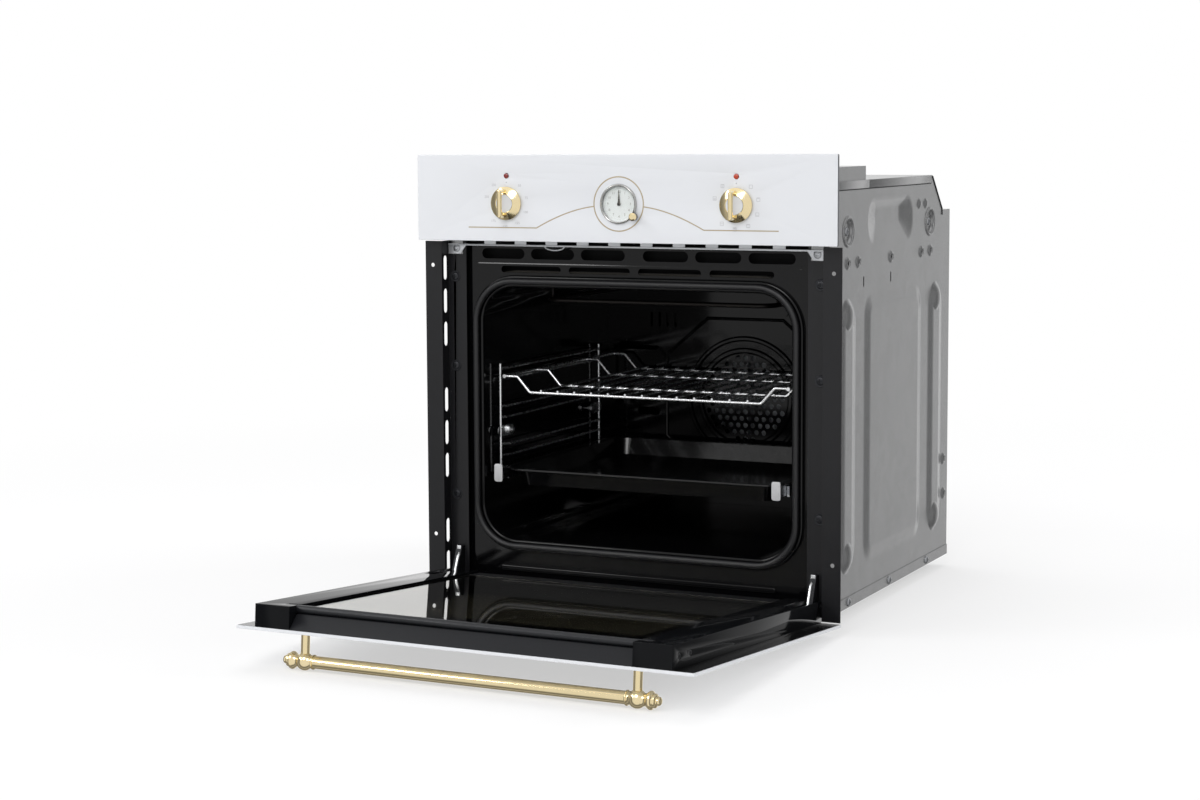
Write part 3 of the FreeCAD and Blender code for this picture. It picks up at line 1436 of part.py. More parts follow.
# Hinges: a cassette with its pin in each stile, and an arm hooked into the post
CHEEK_LOW = "(hinge_at - cassette_wide / 2)"
cheeks = [
    block(("cassette_wall", "door_thick - 2 * cassette_skin", "cassette_tall - cassette_skin"),
          (corner, DOOR_BACK + " + cassette_skin", STILE_LOW))
    for corner in (CHEEK_LOW, "hinge_at + cassette_wide / 2 - cassette_wall")
]
cassette_web = block(
    ("cassette_wide", "cassette_wall", "cassette_tall / 2"),
    (CHEEK_LOW, DOOR_BACK + " + cassette_skin", STILE_LOW + " + cassette_tall / 2 - cassette_skin"),
)
hinge_line = (DOOR_BACK + " + hinge_back", "hinge_rise - front_drop")
pin = rod("hinge_pin", "cassette_wide", (CHEEK_LOW, *hinge_line), "right")
hung_pair(join(*cheeks, cassette_web, pin), "hinge_cassette")
ARM_LOW = "(hinge_at - arm_thick / 2)"
arm_plate = pressed(
    [
        (DOOR_BACK + " + hinge_back", "hinge_rise - front_drop - hinge_eye"),
        (POST_FACE, "arm_foot - hinge_eye"),
        (POST_FACE, "arm_top"),
        (POST_FACE + " - hinge_eye", "arm_top"),
        (DOOR_BACK + " + hinge_back", "hinge_rise - front_drop + hinge_eye"),
    ],
    "arm_thick", (ARM_LOW, "0", "0"), "side",
)
eye = rod("hinge_eye", "arm_thick", (ARM_LOW, *hinge_line), "right")
TONGUE_TALL = "(arm_top - arm_foot - hook_drop - 2 * slide_room)"
tongue = block(("arm_thick", "post_sheet + enamel + slide_room + hook_thick", TONGUE_TALL),
               (ARM_LOW, POST_FACE, "arm_foot + slide_room"))
hook = block(("arm_thick", "hook_thick", TONGUE_TALL + " + hook_drop"),
             (ARM_LOW, POST_BACK + " + enamel + slide_room", "arm_foot + slide_room - hook_drop"))
eye_bore = rod("hinge_pin + shaft_room", "arm_thick", (ARM_LOW, *hinge_line), "right")
pair(cut(join(arm_plate, eye, tongue, hook), eye_bore), "hinge_arm")

# Handle: a bar between two turned ends that stand on posts
HANDLE_Y = "(-casing_depth / 2 - front_reach + door_glass - handle_off)"
HANDLE_Z = "(handle_height - front_drop)"
bar_start = ("handle_ball - handle_at", HANDLE_Y, HANDLE_Z)
hung(rod("handle_bar", "2 * (handle_at - handle_ball)", bar_start, "right"), "handle_bar")
ball = doc.addObject("Part::Sphere", "ball")
bind(ball, "Radius", "handle_ball")
place(ball, ("handle_at", HANDLE_Y, HANDLE_Z), "right")
finial = turned(
    [
        ("0", "0"),
        ("handle_neck", "0"),
        ("handle_neck", "handle_ball"),
        ("handle_ring", "handle_ball + 2 * handle_step"),
        ("handle_ring", "handle_ball + 3 * handle_step"),
        ("handle_neck", "handle_ball + 4 * handle_step"),
        ("handle_neck", "handle_ball + 5 * handle_step"),
        ("handle_nose", "handle_ball + 6 * handle_step"),
        ("handle_nose", "handle_ball + 7 * handle_step"),
        ("0", "handle_tip"),
    ],
    ("handle_at", HANDLE_Y, HANDLE_Z), "right",
)
collar = turned(
    [
        ("handle_bar + shaft_room", "0"),
        ("handle_collar", "0"),
        ("handle_collar", "handle_step"),
        ("handle_bar + shaft_room", "handle_step"),
    ],
    ("handle_at - handle_ball - handle_step", HANDLE_Y, HANDLE_Z), "right",
)
socket = rod("handle_collar", "handle_ball", ("handle_at - handle_ball", HANDLE_Y, HANDLE_Z), "right")
post = rod("handle_post", "handle_off - door_glass", ("handle_at", HANDLE_Y, HANDLE_Z), "back")
foot = rod("handle_foot", "handle_foot_high", ("handle_at", FACE, HANDLE_Z))
handle_end = join(ball, finial, collar, socket, post, foot)
hung(group(handle_end, mirrored(handle_end)), "handle_ends")


def screw(spot, aim, head=at.screw_head):
    """A pan-head screw whose head stands out along its aim."""
    shape = Part.makeCylinder(at.screw_shank, at.screw_long, Vector(0, 0, -at.screw_long))
    shape = shape.fuse(Part.makeCone(head, head - at.screw_head_high / 2, at.screw_head_high))
    corner = Vector(-head, -at.sheet / 2, at.screw_head_high / 2)
    slot = Part.makeBox(2 * head, at.sheet, at.screw_head_high, corner)
    shape = shape.cut(slot)
    shape.Placement = Placement(Vector(*spot), AIM[aim])
    return solid(shape, "screw")


# Screws: posts to cavity frame, carrier tabs to posts, side panels to base, and the door stiles
front_screws = [
    screw((side * at.screw_at, post_face, getattr(at, height)), "front")
    for side in (-1, 1)
    for height in SCREW_HEIGHTS
]
front_screws += [screw((side * at.tab_at, post_face - at.sheet, at.tab_screw), "front") for side in (-1, 1)]
keep(group(*front_screws), "front_screws")
casing_screws = [
    screw((side * at.casing_width / 2, y, at.base_flange / 2), aim)
    for side, aim in ((-1, "left"), (1, "right"))
    for y in base_screw_spots
]
casing_screws += [
    screw((side * (side_out - at.dimple_depth), front + spot, dimple_line), aim)
    for side, aim in ((-1, "left"), (1, "right"))
    for spot in dimple_spots
]
keep(group(*casing_screws), "casing_screws")
door_screws = [
    screw((side * (at.door_half - at.side_screw_deep), face + at.door_glass + at.door_thick / 2,
           at.door_height - at.front_drop - at.side_screw_first - step * at.side_screw_pitch),
          aim, at.side_screw_radius - at.screw_room)
    for side, aim in ((-1, "left"), (1, "right"))
    for step in range(len(side_screw_spots))
]
hung(group(*door_screws), "door_screws")

# Every object must have worked out, and every finished piece must be a valid solid
doc.recompute()
for obj in doc.Objects:
    if "Invalid" in obj.State or "Error" in obj.State:
        raise RuntimeError(f"{obj.Label}: {obj.State}")
os.makedirs("parts", exist_ok=True)
for piece in pieces:
    if piece.Shape.isNull() or not piece.Shape.isValid() or not piece.Shape.Solids:
        raise RuntimeError(f"{piece.Label}: no valid solid")
    piece.Shape.exportStep(f"parts/{piece.Label}.step")
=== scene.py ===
import bpy
import bmesh
import json
import math
from mathutils import Matrix, Vector


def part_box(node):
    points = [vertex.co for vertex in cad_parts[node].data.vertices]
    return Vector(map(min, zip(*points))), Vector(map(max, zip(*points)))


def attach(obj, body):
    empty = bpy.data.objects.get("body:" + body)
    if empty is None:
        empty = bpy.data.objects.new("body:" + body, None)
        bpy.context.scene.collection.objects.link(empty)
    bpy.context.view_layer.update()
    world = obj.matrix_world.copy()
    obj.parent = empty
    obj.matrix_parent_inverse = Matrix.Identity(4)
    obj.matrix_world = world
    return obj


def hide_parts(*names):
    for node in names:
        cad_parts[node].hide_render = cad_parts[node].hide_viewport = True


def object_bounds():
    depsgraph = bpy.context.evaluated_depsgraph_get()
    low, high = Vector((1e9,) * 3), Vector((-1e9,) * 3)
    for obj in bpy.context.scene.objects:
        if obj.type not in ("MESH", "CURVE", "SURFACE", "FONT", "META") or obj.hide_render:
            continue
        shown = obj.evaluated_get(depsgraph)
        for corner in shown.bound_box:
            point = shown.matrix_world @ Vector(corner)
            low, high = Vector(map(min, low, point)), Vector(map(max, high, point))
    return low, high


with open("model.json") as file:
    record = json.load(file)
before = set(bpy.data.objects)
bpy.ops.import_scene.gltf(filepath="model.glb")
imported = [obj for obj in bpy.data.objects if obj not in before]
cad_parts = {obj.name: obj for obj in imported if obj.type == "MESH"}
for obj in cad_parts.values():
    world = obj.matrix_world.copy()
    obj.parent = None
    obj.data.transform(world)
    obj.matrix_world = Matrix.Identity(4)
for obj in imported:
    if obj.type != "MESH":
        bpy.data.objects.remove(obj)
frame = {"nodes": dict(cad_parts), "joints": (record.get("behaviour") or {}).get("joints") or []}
cad_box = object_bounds()

# Camera
# The photograph was taken from the right of the open oven, a little above its
# control panel, with a long lens. The shift keeps the photograph's own framing.
mm = 0.001
camera_spot = Vector((1277.258, -3043.822, 625.499)) * mm
camera_azimuth = 27.173
camera_pitch = 5.786
camera_roll = -0.453
lens = bpy.data.cameras.new("photo_camera")
lens.sensor_width = 36.0
lens.lens = 70.572
lens.shift_x = 0.0634
lens.shift_y = -0.02838
lens.clip_end = 60.0
camera = bpy.data.objects.new("photo_camera", lens)
bpy.context.collection.objects.link(camera)
camera.matrix_world = (
    Matrix.Translation(camera_spot)
    @ Matrix.Rotation(math.radians(camera_azimuth), 4, "Z")
    @ Matrix.Rotation(math.radians(90 - camera_pitch), 4, "X")
    @ Matrix.Rotation(math.radians(camera_roll), 4, "Z")
)
bpy.context.scene.camera = camera
bpy.context.scene.view_settings.view_transform = "Standard"

# Studio
# A white studio: the world is white to the camera and behind the oven, and greyer
# on its right and on the camera's side, so that sheet metal and gold mirror light
# and shade. Soft lamps stand high, and a pale floor takes the shadow.


def add_node(tree, kind, *feeds, **values):
    """A node with values set by name and feeds put in its inputs in order. A socket is linked."""
    node = tree.nodes.new(kind)
    for key, value in [*values.items(), *enumerate(feeds)]:
        if isinstance(key, str) and key not in node.inputs:
            setattr(node, key, value)
        elif isinstance(value, bpy.types.NodeSocket):
            tree.links.new(value, node.inputs[key])
        else:
            node.inputs[key].default_value = value
    return node


def ramp_node(tree, value, stops):
    """A colour ramp over a value, as grey levels at places from 0 to 1."""
    ramp = tree.nodes.new("ShaderNodeValToRGB")
    ramp.color_ramp.interpolation = "EASE"
    while len(ramp.color_ramp.elements) < len(stops):
        ramp.color_ramp.elements.new(0.5)
    for element, (place, level) in zip(ramp.color_ramp.elements, stops):
        element.position = place
        element.color = (level, level, level, 1) if isinstance(level, float) else (*level, 1)
    tree.links.new(value, ramp.inputs["Fac"])
    return ramp.outputs["Color"]


world = bpy.data.worlds.new("white_studio")
world.use_nodes = True
bpy.context.scene.world = world
room = world.node_tree
room.nodes.clear()
direction = room.nodes.new("ShaderNodeTexCoord").outputs["Generated"]


def facing(tree, pointer, way):
    """How far a direction points along a way, from 0 to 1."""
    straight = add_node(tree, "ShaderNodeVectorMath", pointer, operation="NORMALIZE")
    along = add_node(tree, "ShaderNodeVectorMath", straight.outputs["Vector"], way, operation="DOT_PRODUCT")
    half = add_node(tree, "ShaderNodeMath", along.outputs["Value"], 0.5, 0.5, operation="MULTIPLY_ADD")
    return half.outputs[0]


bright_way = (-0.34, 0.94, 0)
room_levels = [(0.0, 0.85), (0.2, 0.8), (0.28, 0.2), (0.4, 0.2), (0.5, 0.45), (0.62, 0.2), (0.78, 0.2),
               (0.86, 0.52), (0.92, 0.85), (0.97, 1.0)]
soft_level = 0.42
white = (1, 1, 1, 1)
behind = ramp_node(room, facing(room, direction, bright_way), room_levels)
above = ramp_node(room, facing(room, direction, (0, 0, 1)), [(0.66, 0.0), (0.86, 0.95)])
lighter = add_node(room, "ShaderNodeMix", data_type="RGBA", blend_type="LIGHTEN", Factor=1.0, A=behind, B=above)
light_path = room.nodes.new("ShaderNodeLightPath").outputs
mirrored = add_node(room, "ShaderNodeMath", light_path["Is Glossy Ray"], light_path["Is Transmission Ray"],
                    operation="MAXIMUM")
room_colour = add_node(room, "ShaderNodeMix", data_type="RGBA", Factor=mirrored.outputs[0],
                       A=(soft_level, soft_level, soft_level * 1.02, 1), B=lighter.outputs["Result"])
seen_colour = add_node(room, "ShaderNodeMix", data_type="RGBA", Factor=light_path["Is Camera Ray"],
                       A=room_colour.outputs["Result"], B=white)
sky = add_node(room, "ShaderNodeBackground", Color=seen_colour.outputs["Result"])
add_node(room, "ShaderNodeOutputWorld", Surface=sky.outputs[0])

lamp_target = Vector((0, -0.2, 0.3))
lamps = {
    "front_softbox": ((0.4, -3.8, 3.2), 2.0, 58.0, True),
    "right_softbox": ((3.0, 2.4, 2.4), 2.4, 70.0, False),
    "top_softbox": ((-0.6, 0.4, 3.6), 2.8, 50.0, False),
    "left_softbox": ((-3.2, -2.2, 2.8), 1.6, 34.0, True),
    "low_softbox": ((-1.7, -3.0, 1.5), 0.5, 8.0, True),
}
for lamp_name, (lamp_spot, lamp_size, lamp_power, lamp_mirrored) in lamps.items():
    softbox = bpy.data.lights.new(lamp_name, "AREA")
    softbox.size = lamp_size
    softbox.energy = lamp_power
    lamp = bpy.data.objects.new(lamp_name, softbox)
    lamp.location = lamp_spot
    lamp.rotation_euler = (lamp_target - Vector(lamp_spot)).to_track_quat("-Z", "Y").to_euler()
    lamp.visible_glossy = lamp_mirrored
    bpy.context.collection.objects.link(lamp)

bpy.ops.object.select_all(action="DESELECT")
floor_level = cad_box[0][2] - 0.2 * mm
bpy.ops.mesh.primitive_plane_add(size=30.0, location=(0, 0, floor_level))
floor = bpy.context.object
floor.name = "studio_floor"
floor_paint = bpy.data.materials.new("studio_floor")
floor_paint.use_nodes = True
paint = floor_paint.node_tree
paint.nodes.clear()
place = paint.nodes.new("ShaderNodeTexCoord")
distance = add_node(paint, "ShaderNodeVectorMath", place.outputs["Object"], operation="LENGTH")
fade = add_node(paint, "ShaderNodeMapRange", interpolation_type="SMOOTHSTEP", Value=distance.outputs["Value"],
                **{"From Min": 0.7, "From Max": 2.2, "To Min": 0.55})
floor_path = paint.nodes.new("ShaderNodeLightPath").outputs
floor_fade = add_node(paint, "ShaderNodeMath", fade.outputs["Result"], floor_path["Is Camera Ray"],
                      floor_path["Is Glossy Ray"], operation="MULTIPLY_ADD")
came_from = paint.nodes.new("ShaderNodeNewGeometry")
toward_bright = facing(paint, came_from.outputs["Incoming"], [-part for part in bright_way])
mirrored_floor = add_node(paint, "ShaderNodeMix", data_type="RGBA", Factor=floor_path["Is Camera Ray"],
                          A=ramp_node(paint, toward_bright, room_levels), B=white)
matt = add_node(paint, "ShaderNodeBsdfDiffuse", Color=(0.93, 0.93, 0.93, 1))
glow = add_node(paint, "ShaderNodeEmission", Strength=1.0, Color=mirrored_floor.outputs["Result"])
floor_mix = add_node(paint, "ShaderNodeMixShader", floor_fade.outputs[0], matt.outputs[0], glow.outputs[0])
add_node(paint, "ShaderNodeOutputMaterial", Surface=floor_mix.outputs[0])
floor.data.materials.append(floor_paint)

# Casing
# The base pan, side panels, top and rear of the oven: galvanised steel sheet,
# cut and pressed in one stroke, folded at the edges and screwed together.


def make_worked_surface():
    """The group that every finish uses: broad mottle, uneven gloss and fine grain."""
    group = bpy.data.node_groups.new("worked_surface", "ShaderNodeTree")
    sockets = group.interface
    sockets.new_socket("Vector", in_out="INPUT", socket_type="NodeSocketVector")
    sockets.new_socket("Colour", in_out="INPUT", socket_type="NodeSocketColor")
    sockets.new_socket("Worn Colour", in_out="INPUT", socket_type="NodeSocketColor")
    plain = {"Mottle": 0.5, "Mottle Scale": 30.0, "Gloss": 0.4, "Uneven": 0.1, "Grain Scale": 900.0}
    for name, value in plain.items():
        sockets.new_socket(name, in_out="INPUT", socket_type="NodeSocketFloat").default_value = value
    sockets.new_socket("Colour", in_out="OUTPUT", socket_type="NodeSocketColor")
    sockets.new_socket("Roughness", in_out="OUTPUT", socket_type="NodeSocketFloat")
    sockets.new_socket("Height", in_out="OUTPUT", socket_type="NodeSocketFloat")
    source = group.nodes.new("NodeGroupInput").outputs
    result = group.nodes.new("NodeGroupOutput")
    broad = add_node(group, "ShaderNodeTexNoise", Detail=5.0, Vector=source["Vector"], Scale=source["Mottle Scale"])
    fine = add_node(group, "ShaderNodeTexNoise", Detail=3.0, Vector=source["Vector"], Scale=source["Grain Scale"])
    share = add_node(group, "ShaderNodeMath", broad.outputs["Fac"], source["Mottle"], operation="MULTIPLY")
    tone = add_node(group, "ShaderNodeMix", data_type="RGBA", Factor=share.outputs[0], A=source["Colour"],
                    B=source["Worn Colour"])
    sway = add_node(group, "ShaderNodeMath", broad.outputs["Fac"], source["Uneven"], source["Gloss"],
                    operation="MULTIPLY_ADD")
    group.links.new(tone.outputs["Result"], result.inputs["Colour"])
    group.links.new(sway.outputs[0], result.inputs["Roughness"])
    group.links.new(fine.outputs["Fac"], result.inputs["Height"])
    return group


worked_surface = make_worked_surface()


def linear(code):
    """A colour written as on screen, such as 8a8d92, in the shader's own scale."""
    levels = [int(code[i:i + 2], 16) / 255 for i in (0, 2, 4)]
    return [v / 12.92 if v <= 0.04045 else ((v + 0.055) / 1.055) ** 2.4 for v in levels] + [1]


def finish_of(name, colour, worn, mottle=0.5, mottle_scale=30.0, gloss=0.4, uneven=0.1, grain=900.0,
              bump=0.05, depth=0.0002, **shader_values):
    """A finish: the worked surface with its own colours, gloss and grain."""
    material = bpy.data.materials.new(name)
    material.use_nodes = True
    tree = material.node_tree
    shader = tree.nodes["Principled BSDF"]
    for key, value in shader_values.items():
        shader.inputs[key.replace("_", " ")].default_value = value
    place = tree.nodes.new("ShaderNodeTexCoord")
    surface = add_node(tree, "ShaderNodeGroup", node_tree=worked_surface, name="surface", Mottle=mottle,
                       Gloss=gloss, Uneven=uneven, Colour=linear(colour), Vector=place.outputs["Object"],
                       **{"Worn Colour": linear(worn), "Mottle Scale": mottle_scale, "Grain Scale": grain})
    relief = add_node(tree, "ShaderNodeBump", Strength=bump, Distance=depth, Height=surface.outputs["Height"])
    tree.links.new(surface.outputs["Colour"], shader.inputs["Base Color"])
    tree.links.new(surface.outputs["Roughness"], shader.inputs["Roughness"])
    tree.links.new(relief.outputs["Normal"], shader.inputs["Normal"])
    return material


def dress(material, *nodes):
    """Gives CAD nodes their finish."""
    for node in nodes:
        mesh = frame["nodes"][node].data
        mesh.materials.clear()
        mesh.materials.append(material)


def select_only(piece):
    """Makes a piece the one that the operators act on."""
    bpy.ops.object.select_all(action="DESELECT")
    piece.select_set(True)
    bpy.context.view_layer.objects.active = piece


def apply_place():
    """Puts the selected piece's place, turn and scale into its mesh."""
    bpy.ops.object.transform_apply(location=True, rotation=True, scale=True)


def settle(piece, name, material, body, slot, *nodes, smooth=30.0, flat=False):
    """Names a finished piece, gives it its finish and body, and hides the nodes that it stands for."""
    piece.name = name
    piece.data.name = name
    piece.data.materials.clear()
    piece.data.materials.append(material)
    select_only(piece)
    apply_place()
    bpy.ops.object.shade_smooth_by_angle(angle=math.radians(smooth))
    if flat:
        level = piece.modifiers.new("level", "WEIGHTED_NORMAL")
        level.keep_sharp = True
        level.weight = 100
        bpy.ops.object.modifier_apply(modifier=level.name)
    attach(piece, body)
    if nodes:
        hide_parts(*nodes)
    return piece


def worked_copy(node):
    """A copy of a CAD sheet with its triangles joined into whole faces, for rounding."""
    piece = bpy.data.objects.new(node + "_copy", frame["nodes"][node].data.copy())
    bpy.context.collection.objects.link(piece)
    select_only(piece)
    bpy.ops.mesh.customdata_custom_splitnormals_clear()
    bpy.ops.object.mode_set(mode="EDIT")
    bpy.ops.mesh.select_all(action="SELECT")
    bpy.ops.mesh.remove_doubles(threshold=0.004 * mm)
    bpy.ops.mesh.dissolve_limited(angle_limit=math.radians(0.5))
    bpy.ops.object.mode_set(mode="OBJECT")
    return piece


def round_edges(piece, radius, steps, wanted):
    """Rounds the edges of a piece that wanted picks."""
    select_only(piece)
    bpy.ops.object.mode_set(mode="EDIT")
    bpy.ops.mesh.select_mode(type="EDGE")
    bpy.ops.mesh.select_all(action="DESELECT")
    shape = bmesh.from_edit_mesh(piece.data)
    for edge in shape.edges:
        edge.select_set(len(edge.link_faces) == 2 and wanted(edge))
    bmesh.update_edit_mesh(piece.data)
    bpy.ops.mesh.bevel(offset=radius, segments=steps, profile=0.5, clamp_overlap=False)
    bpy.ops.object.mode_set(mode="OBJECT")


galvanised = finish_of("galvanised", "90959b", "888d94", mottle_scale=7.0, gloss=0.22, uneven=0.06,
                       grain=420.0, bump=0.02, Metallic=0.8)
sheet = galvanised.node_tree
spangle_place = sheet.nodes.new("ShaderNodeTexCoord")
spangle = add_node(sheet, "ShaderNodeTexVoronoi", Scale=55.0, Vector=spangle_place.outputs["Object"])
spangle_tone = add_node(sheet, "ShaderNodeMix", data_type="RGBA", blend_type="SOFT_LIGHT", Factor=0.05,
                        A=sheet.nodes["surface"].outputs["Colour"], B=spangle.outputs["Color"])
spangle_grey = add_node(sheet, "ShaderNodeHueSaturation", Saturation=0.08, Color=spangle_tone.outputs["Result"])
sheet.links.new(spangle_grey.outputs["Color"], sheet.nodes["Principled BSDF"].inputs["Base Color"])
dress(galvanised, "base_panel", "rear_panel", "top_cover", "panel_carrier", "air_duct", "cooling_fan_housing")

press_radius = 3.2 * mm
side_face = 272.0 * mm
seat_low, seat_high, seat_line, seat_reach = 460 * mm, 520 * mm, 172 * mm, 20 * mm


def pressed_edge(edge):
    """An edge of a pressing's slopes, away from the sheet's outline and its dished screw seats."""
    first, second = (vert.co for vert in edge.verts)
    dished = seat_low < first.z < seat_high and abs(abs(first.y) - seat_line) < seat_reach
    level = abs(first.x - second.x) < 0.02 * mm
    return level and not dished and 3 < math.degrees(edge.calc_face_angle()) < 60


for hand in ("left", "right"):
    side = worked_copy("side_panel_" + hand)
    round_edges(side, press_radius, 4, pressed_edge)
    settle(side, "pressed_side_" + hand, galvanised, "casing", "galvanised", "side_panel_" + hand, flat=True)

# Screws
# Pan-head steel screws with a cross recess: zinc plated on the casing and the panel
# carrier's tabs, black with washers on the posts, and black on the door's stiles.


def turned(points, foot, along, steps=48):
    """A lathe piece: a profile of (radius, length) in mm, spun about an axis from its foot."""
    along = Vector(along).normalized()
    across = along.orthogonal().normalized()
    foot = Vector(foot)
    spots = [foot + along * length * mm + across * radius * mm for radius, length in points]
    outline = bpy.data.meshes.new("outline")
    outline.from_pydata(spots, [(i, i + 1) for i in range(len(spots) - 1)], [])
    piece = bpy.data.objects.new("turned", outline)
    bpy.context.collection.objects.link(piece)
    select_only(piece)
    bpy.ops.object.mode_set(mode="EDIT")
    bpy.ops.mesh.select_all(action="SELECT")
    bpy.ops.mesh.spin(steps=steps, angle=2 * math.pi, center=foot, axis=along)
    bpy.ops.mesh.select_all(action="SELECT")
    bpy.ops.mesh.remove_doubles(threshold=0.001 * mm)
    bpy.ops.mesh.normals_make_consistent(inside=False)
    bpy.ops.object.mode_set(mode="OBJECT")
    return piece


def block(low, high):
    """A block between two corners, as the start of a piece."""
    low, high = Vector(map(min, low, high)), Vector(map(max, low, high))
    bpy.ops.object.select_all(action="DESELECT")
    bpy.ops.mesh.primitive_cube_add(size=1.0, location=(low + high) / 2)
    piece = bpy.context.object
    piece.scale = high - low
    apply_place()
    return piece


def block_mm(low, high):
    """A block between two corners in mm."""
    return block(Vector(low) * mm, Vector(high) * mm)


def joined(pieces):
    """Several pieces as one."""
    select_only(pieces[0])
    for piece in pieces[1:]:
        piece.select_set(True)
    bpy.ops.object.join()
    return pieces[0]


def cut(piece, tool):
    """Takes a tool's shape out of a piece."""
    select_only(piece)
    cutter = piece.modifiers.new("cut", "BOOLEAN")
    cutter.object = tool
    cutter.operation = "DIFFERENCE"
    cutter.solver = "EXACT"
    bpy.ops.object.modifier_apply(modifier=cutter.name)
    bpy.data.objects.remove(tool)


def solid_boxes(node):
    """The lowest and highest corner of each separate solid of a CAD node."""
    shape = bmesh.new()
    shape.from_mesh(frame["nodes"][node].data)
    bmesh.ops.remove_doubles(shape, verts=shape.verts, dist=0.004 * mm)
    waiting = set(shape.verts)
    boxes = []
    while waiting:
        front = [waiting.pop()]
        found = list(front)
        while front:
            near = [e.other_vert(v) for v in front for e in v.link_edges]
            front = [v for v in set(near) if v in waiting]
            waiting.difference_update(front)
            found += front
        boxes.append(tuple(Vector([pick(v.co[i] for v in found) for i in range(3)]) for pick in (min, max)))
    shape.free()
    return boxes


def screw_heads(node, axis, head_radius, head_high):
    """Screws in place of a node's plain ones, their heads standing out along an axis."""
    screws = []
    for low, high in solid_boxes(node):
        middle = (low + high) / 2
        side = math.copysign(1, middle[axis]) if axis == 0 else -1
        out = Vector([side if i == axis else 0 for i in range(3)])
        top = high[axis] if side > 0 else low[axis]
        foot = middle.copy()
        foot[axis] = top - side * head_high * mm
        long = (high[axis] - low[axis]) / mm - head_high
        head = turned(
            [(0, -long), (0.36 * head_radius, -long), (0.36 * head_radius, 0), (head_radius, 0),
             (head_radius, 0.35 * head_high), (0.88 * head_radius, 0.75 * head_high),
             (0.6 * head_radius, head_high), (0, head_high)], foot, out, 32)
        centre = foot + out * head_high * mm
        for thin in ((axis + 1) % 3, (axis + 2) % 3):
            reach = Vector([0.5 * head_radius] * 3) * mm
            reach[thin] = 0.11 * head_radius * mm
            reach[axis] = 0.55 * head_high * mm
            cut(head, block(centre - reach, centre + reach))
        screws.append(head)
    return joined(screws)


zinc = finish_of("zinc", "b9bbbe", "8f9196", mottle=0.6, mottle_scale=300.0, gloss=0.25, uneven=0.15, Metallic=1.0)
black_zinc = finish_of("black_zinc", "202124", "34353a", mottle=0.7, mottle_scale=400.0, gloss=0.26, uneven=0.2,
                       Metallic=0.5)
head_radius, head_high = 5.5, 2.6
settle(screw_heads("casing_screws", 0, head_radius, head_high), "casing_cross_screws", zinc, "casing", "galvanised",
       "casing_screws")
post_screws = settle(screw_heads("front_screws", 1, head_radius, head_high), "post_cross_screws", black_zinc,
                     "casing", "galvanised", "front_screws")
tab_level = 455.0 * mm
post_screws.data.materials.append(zinc)
for face in post_screws.data.polygons:
    face.material_index = 1 if face.center.z > tab_level else 0

washer = [(3.0, -0.1), (7.6, -0.1), (7.8, 0.3), (7.2, 1.0), (6.0, 0.8), (3.0, 0.8), (3.0, -0.1)]
washers = []
for low, high in solid_boxes("front_screws"):
    if low.z < tab_level:
        under_head = Vector(((low.x + high.x) / 2, low.y + head_high * mm, (low.z + high.z) / 2))
        washers.append(turned(washer, under_head, (0, -1, 0), 32))
settle(joined(washers), "post_washers", black_zinc, "casing", "galvanised")

# Small pressings of the sides
# Domes at the ends of the ribs, bosses round the stud holes and a rolled ring
# round each screw's dish, struck with the side sheets, and the cover's flange.
dome = [(0, -0.5), (24.5, -0.5), (23.5, 0.1), (21.0, 0.9), (17.5, 2.9), (13.5, 5.0), (9.0, 6.4), (4.5, 7.0),
        (0, 7.2)]
knoll = [(0, -0.5), (8.6, -0.5), (8.0, 0.1), (6.6, 0.8), (4.8, 1.9), (2.6, 2.6), (0, 2.8)]
boss = [(3.3, -0.5), (3.3, 0.9), (3.9, 1.8), (5.0, 2.2), (6.4, 1.9), (7.9, 0.9), (9.0, 0.1), (9.4, -0.5),
        (3.3, -0.5)]
ring = [(18.6 + 2.1 * math.cos(math.radians(t)), 1.7 * math.sin(math.radians(t))) for t in range(0, 375, 15)]
rib_lines, dome_levels = (-175.0, 197.0), (380.0, 68.5)
stud_lines, stud_level = (-175.0, -134.0, -1.0, 132.0, 173.0), 449.0
pressed_spots = [(dome, along, level) for along in rib_lines for level in dome_levels]
pressed_spots += [(boss, along, stud_level) for along in stud_lines] + [(boss, 243.0, 143.0), (boss, 246.0, 92.0)]
pressed_spots += [(knoll, 121.0, 516.0), (knoll, 150.0, 515.5)]
pressed_spots += [(ring, along, 489.5) for along in (-173.0, 171.0)]


def round_line(radius, roundness, capped):
    """A curve with a round section, with no runs yet."""
    line = bpy.data.curves.new("line", "CURVE")
    line.dimensions = "3D"
    line.bevel_depth = radius
    line.bevel_resolution = roundness
    line.use_fill_caps = capped
    return line


def meshed(line):
    """A curve as a mesh."""
    piece = bpy.data.objects.new("line", line)
    bpy.context.collection.objects.link(piece)
    select_only(piece)
    bpy.ops.object.convert(target="MESH")
    return bpy.context.object


def bead(points, radius, closed=False):
    """A round bead along straight runs."""
    line = round_line(radius, 4, not closed)
    run = line.splines.new("POLY")
    run.points.add(len(points) - 1)
    for spot, point in zip(points, run.points):
        point.co = (*spot, 1)
    run.use_cyclic_u = closed
    return meshed(line)


def sharp(edge):
    """An edge where two faces meet at more than a slight bend."""
    return math.degrees(edge.calc_face_angle()) > 40


